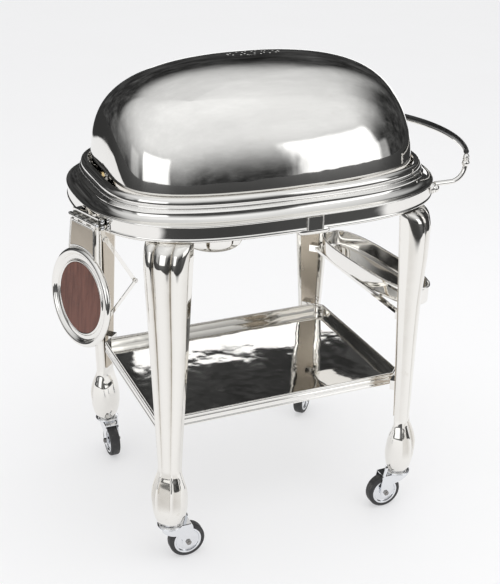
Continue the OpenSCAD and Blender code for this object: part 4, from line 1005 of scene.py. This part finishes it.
def buildLids():
    # low dome with a turned knob over each well
    r = well["r"] + 7
    a = np.radians(np.linspace(12, 90, 14))
    top = np.column_stack([9 + (r - 10) * np.cos(a), 2 + 11 * np.sin(a)]).tolist()
    low = np.column_stack([7 + (r - 10) * np.cos(a), 1 + 10 * np.sin(a)])[::-1].tolist()
    knob = curvePart((0, 26), 8.5, -60, 88, 22)
    profile = [[r, 0], [r, 1.6]] + top + [[6, 14.5], [4.25, 17]] + knob + [[0, 34.5]]
    radii = [0] * 15 + [.4, .4, .8] + [0] * 14 + [1.4, 1] + [0] * 23
    lid = lathe(rounded([[0, 11.4]] + low + [[r - 3, 0]] + profile, radii, 4, False), 96)
    for name, side in (("front", -1), ("back", 1)):
        body = f"well_lid_{name}"
        cover = moved([lid], shift(well["x"], side * well["y"], well["z"]))
        addPiece(f"wellCover_{name}", body, cover, smoothPlate, (f"lid_{name}",), 40)


buildBurners()
buildLids()
print("burners and lids made")

# ---- plain CAD nodes take the finished materials
nodeFinish = {
    silverPlate: ("rim_underplate", "deck_plate", "water_pan", "gravy_wells"),
    smoothPlate: ("hub_brackets", "deck_brackets", "burner_straps", "leg_mounts", "shelf_brackets",
                  "rest_leaf", "stay_anchor", "tool_rail"),
    casterChrome: ("hub_shafts", "caster_sockets", "rest_pin"),
    spunBrass: ("dome_bushes",),
    boardWood: ("carving_board",),
}
for material, names in nodeFinish.items():
    for name in names:
        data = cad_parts[name].data
        data.materials.clear()
        data.materials.append(material)
print("CAD nodes finished")

# ---- studio
studio = dict(floorHalf=40.0, floorColour=(0.46, 0.46, 0.46, 1), mottleColour=(0.48, 0.48, 0.485, 1),
              darkFloor=(0.03, 0.03, 0.03, 1), glow=0.45, paper=((-3.0, 3.0), (-1.7, 3.7)), paperEdge=0.25,
              position=(-0.9508 + deckX * 0.001, -2.1786, 1.5893), azimuth=-23.635, elevation=24.228,
              roll=0.984, focal=1069.1, imageWidth=500, sensor=36.0,
              keySize=3.0, keyPower=34.0, keyPlace=(0.3, -0.6, 3.4))


def stageSheet(name, corners, material):
    # one face with its material, linked into the scene
    mesh = bpy.data.meshes.new(name)
    mesh.from_pydata(corners, [], [(0, 1, 2, 3)])
    mesh.materials.append(material)
    sheet = bpy.data.objects.new(name, mesh)
    bpy.context.collection.objects.link(sheet)
    return sheet


def buildFloor():
    h = studio["floorHalf"]
    made, tree, shader, place = baseMaterial("paperFloor")
    # beyond the paper sheet the studio floor is dark, which only reflections show
    split = addNode(tree, "ShaderNodeSeparateXYZ", {0: place}).outputs
    sheet = 1.0
    for value, (low, high) in zip(split[:2], studio["paper"]):
        sheet = mathNode(tree, "MULTIPLY", sheet, rampNode(tree, value, low - studio["paperEdge"], low))
        sheet = mathNode(tree, "MULTIPLY", sheet, rampNode(tree, value, high + studio["paperEdge"], high))
    far = mathNode(tree, "SUBTRACT", 1.0, sheet)
    gloss = addNode(tree, "ShaderNodeLightPath").outputs["Is Glossy Ray"]
    dim = mathNode(tree, "MULTIPLY", far, gloss)
    mottle = noiseNode(tree, place, 1.4, 3.0)
    pale = colourMix(tree, mottle, studio["floorColour"], studio["mottleColour"])
    tree.links.new(colourMix(tree, dim, pale, studio["darkFloor"]), shader.inputs["Base Color"])
    # lit paper glows a little, which keeps the shadows as weak as in the studio
    shader.inputs["Emission Color"].default_value = (0.99, 0.99, 1.0, 1)
    lit = mathNode(tree, "MULTIPLY", mathNode(tree, "SUBTRACT", 1.0, dim), studio["glow"])
    tree.links.new(lit, shader.inputs["Emission Strength"])
    shader.inputs["Roughness"].default_value = 0.6
    shader.inputs["Specular IOR Level"].default_value = 0.2
    stageSheet("floor", [(-h, -h, 0), (h, -h, 0), (h, h, 0), (-h, h, 0)], made)


def buildCard():
    # white card standing behind the trolley, seen only in the plate; it whitens the far half of the shelf
    c = dict(x=(0.1, 1.9), y=1.35, z=(0.4, 1.05), glow=0.62)
    (x0, x1), y, (z0, z1) = c["x"], c["y"], c["z"]
    made, tree, shader, place = baseMaterial("cardWhite")
    mottle = noiseNode(tree, place, 3.0, 3.0)
    white = colourMix(tree, mottle, (0.55, 0.55, 0.55, 1), (0.65, 0.65, 0.65, 1))
    tree.links.new(white, shader.inputs["Base Color"])
    shader.inputs["Emission Color"].default_value = (1, 1, 1, 1)
    shader.inputs["Emission Strength"].default_value = c["glow"]
    card = stageSheet("whiteCard", [(x0, y, z0), (x1, y, z0), (x1, y, z1), (x0, y, z1)], made)
    card.visible_camera = card.visible_diffuse = card.visible_shadow = False


def boxMask(tree, azimuth, elevation, centre, half, soft):
    # 1 inside a rectangle of directions, fading over soft degrees
    masks = []
    for value, c, h in ((azimuth, centre[0], half[0]), (elevation, centre[1], half[1])):
        off = mathNode(tree, "ABSOLUTE", mathNode(tree, "SUBTRACT", value, c))
        masks.append(rampNode(tree, off, h + soft, h))
    return mathNode(tree, "MULTIPLY", *masks)


def buildWorld():
    # what the plate mirrors: a bright ceiling, a dark room, and soft boxes; each in degrees of direction
    boxes = [dict(centre=(-53, 9), half=(17, 14), soft=5, light=1.1),
             dict(centre=(42, 13), half=(14, 13), soft=5, light=1.2),
             dict(centre=(60, 3), half=(5, 8), soft=4, light=0.35),
             dict(centre=(-90, 4), half=(6, 12), soft=6, light=0.22),
             dict(centre=(-130, 5), half=(12, 10), soft=6, light=0.06)]
    # by direction, 0 towards the guests, + to the push handle: where the ceiling starts, where it is at its
    # full brightness, and that brightness; a colour ramp holds the three as red, green and blue
    edges = [(-180, 37, 58, 0.60), (-150, 37, 58, 0.60), (-142, 24, 52, 0.62), (-130, 0, 56, 0.70),
             (-108, -8, 56, 0.78), (-92, -18, 50, 0.80), (-72, -8, 40, 0.85), (-38, -10, 42, 0.85),
             (-23, -14, 46, 0.84), (-5, 0, 46, 0.82), (15, 0, 46, 0.82), (26, 2, 40, 0.85), (56, 8, 38, 0.85),
             (66, 15, 48, 0.85), (78, 18, 50, 0.75), (90, 28, 56, 0.74), (106, 26, 56, 0.70),
             (119, 12, 58, 0.68), (130, 26, 54, 0.68), (137, 36, 58, 0.62), (180, 37, 58, 0.60)]
    lowest, span = -20.0, 110.0      # the range of elevations that the ramp's colours stand for
    crownLow, crownHigh, crownLight, clutter = 52.0, 75.0, 0.1, 0.34
    world = bpy.data.worlds.new("studio")
    bpy.context.scene.world = world
    world.use_nodes = True
    tree = world.node_tree
    tree.nodes.clear()
    place = addNode(tree, "ShaderNodeTexCoord").outputs["Generated"]
    split = addNode(tree, "ShaderNodeSeparateXYZ", {0: place}).outputs
    towards = mathNode(tree, "MULTIPLY", split[1], -1.0)
    azimuth = mathNode(tree, "DEGREES", mathNode(tree, "ARCTAN2", split[0], towards))
    elevation = mathNode(tree, "DEGREES", mathNode(tree, "ARCSINE", split[2]))
    around = mathNode(tree, "ADD", mathNode(tree, "DIVIDE", azimuth, 360.0), 0.5)
    curve = addNode(tree, "ShaderNodeValToRGB", {0: around})
    stops = curve.color_ramp.elements
    while len(stops) < len(edges):
        stops.new(0.5)
    for stop, (at, low, high, level) in zip(stops, edges):
        stop.position = at / 360 + 0.5
        stop.color = ((low - lowest) / span, (high - lowest) / span, level, 1)
    found = addNode(tree, "ShaderNodeSeparateColor", {0: curve.outputs[0]}).outputs
    start, full = (mathNode(tree, "ADD", mathNode(tree, "MULTIPLY", found[k], span), lowest) for k in (0, 1))
    ceiling = mathNode(tree, "MULTIPLY", rampNode(tree, elevation, start, full), found[2])
    crown = rampNode(tree, elevation, crownLow, crownHigh)
    light = mathNode(tree, "ADD", ceiling, mathNode(tree, "MULTIPLY", crown, crownLight))
    for b in boxes:
        mask = boxMask(tree, azimuth, elevation, b["centre"], b["half"], b["soft"])
        light = mathNode(tree, "ADD", light, mathNode(tree, "MULTIPLY", mask, b["light"]))
    # faint clutter all round, so that no stretch of the plate is quite even
    spots = mathNode(tree, "POWER", noiseNode(tree, place, 7.0, 6.0, 0.75), 3.0)
    shade = mathNode(tree, "ADD", light, mathNode(tree, "MULTIPLY", spots, clutter))
    seen = addNode(tree, "ShaderNodeBackground", {"Color": (0.98, 0.99, 1.0, 1), "Strength": shade})
    even = addNode(tree, "ShaderNodeBackground", {"Color": (1.0, 1.0, 1.0, 1), "Strength": 0.95})
    back = addNode(tree, "ShaderNodeBackground", {"Color": (0.80, 0.805, 0.815, 1), "Strength": 1.0})
    # reflections see the room, rough surfaces an even sky, and the camera a plain pale backdrop
    path = addNode(tree, "ShaderNodeLightPath").outputs
    first = addNode(tree, "ShaderNodeMixShader",
                    {0: path["Is Diffuse Ray"], 1: seen.outputs[0], 2: even.outputs[0]})
    last = addNode(tree, "ShaderNodeMixShader",
                   {0: path["Is Camera Ray"], 1: first.outputs[0], 2: back.outputs[0]})
    output = addNode(tree, "ShaderNodeOutputWorld")
    tree.links.new(last.outputs[0], output.inputs["Surface"])


def buildCamera():
    # the camera looks along -back; azimuth turns it about z, elevation lifts it, roll tilts the picture
    a, e, r = (math.radians(studio[k]) for k in ("azimuth", "elevation", "roll"))
    back = np.array([math.sin(a) * math.cos(e), -math.cos(a) * math.cos(e), math.sin(e)])
    level = np.array([math.cos(a), math.sin(a), 0.0])
    rise = np.cross(back, level)
    right = level * math.cos(r) + rise * math.sin(r)
    up = rise * math.cos(r) - level * math.sin(r)
    matrix = Matrix.Identity(4)
    for k, column in enumerate((right, up, back, studio["position"])):
        for row in range(3):
            matrix[row][k] = column[row]
    data = bpy.data.cameras.new("camera")
    data.sensor_fit, data.sensor_width = "HORIZONTAL", studio["sensor"]
    data.lens = studio["sensor"] * studio["focal"] / studio["imageWidth"]
    camera = bpy.data.objects.new("camera", data)
    camera.matrix_world = matrix
    bpy.context.collection.objects.link(camera)
    bpy.context.scene.camera = camera


def buildKeyLight():
    data = bpy.data.lights.new("overheadSoft", "AREA")
    data.shape, data.energy = "RECTANGLE", studio["keyPower"]
    data.size = data.size_y = studio["keySize"]
    light = bpy.data.objects.new("overheadSoft", data)
    light.location = studio["keyPlace"]
    light.visible_glossy = False
    bpy.context.collection.objects.link(light)


buildFloor()
buildCard()
buildWorld()
buildCamera()
buildKeyLight()
bpy.context.scene.view_settings.view_transform = "Standard"
print("studio made")
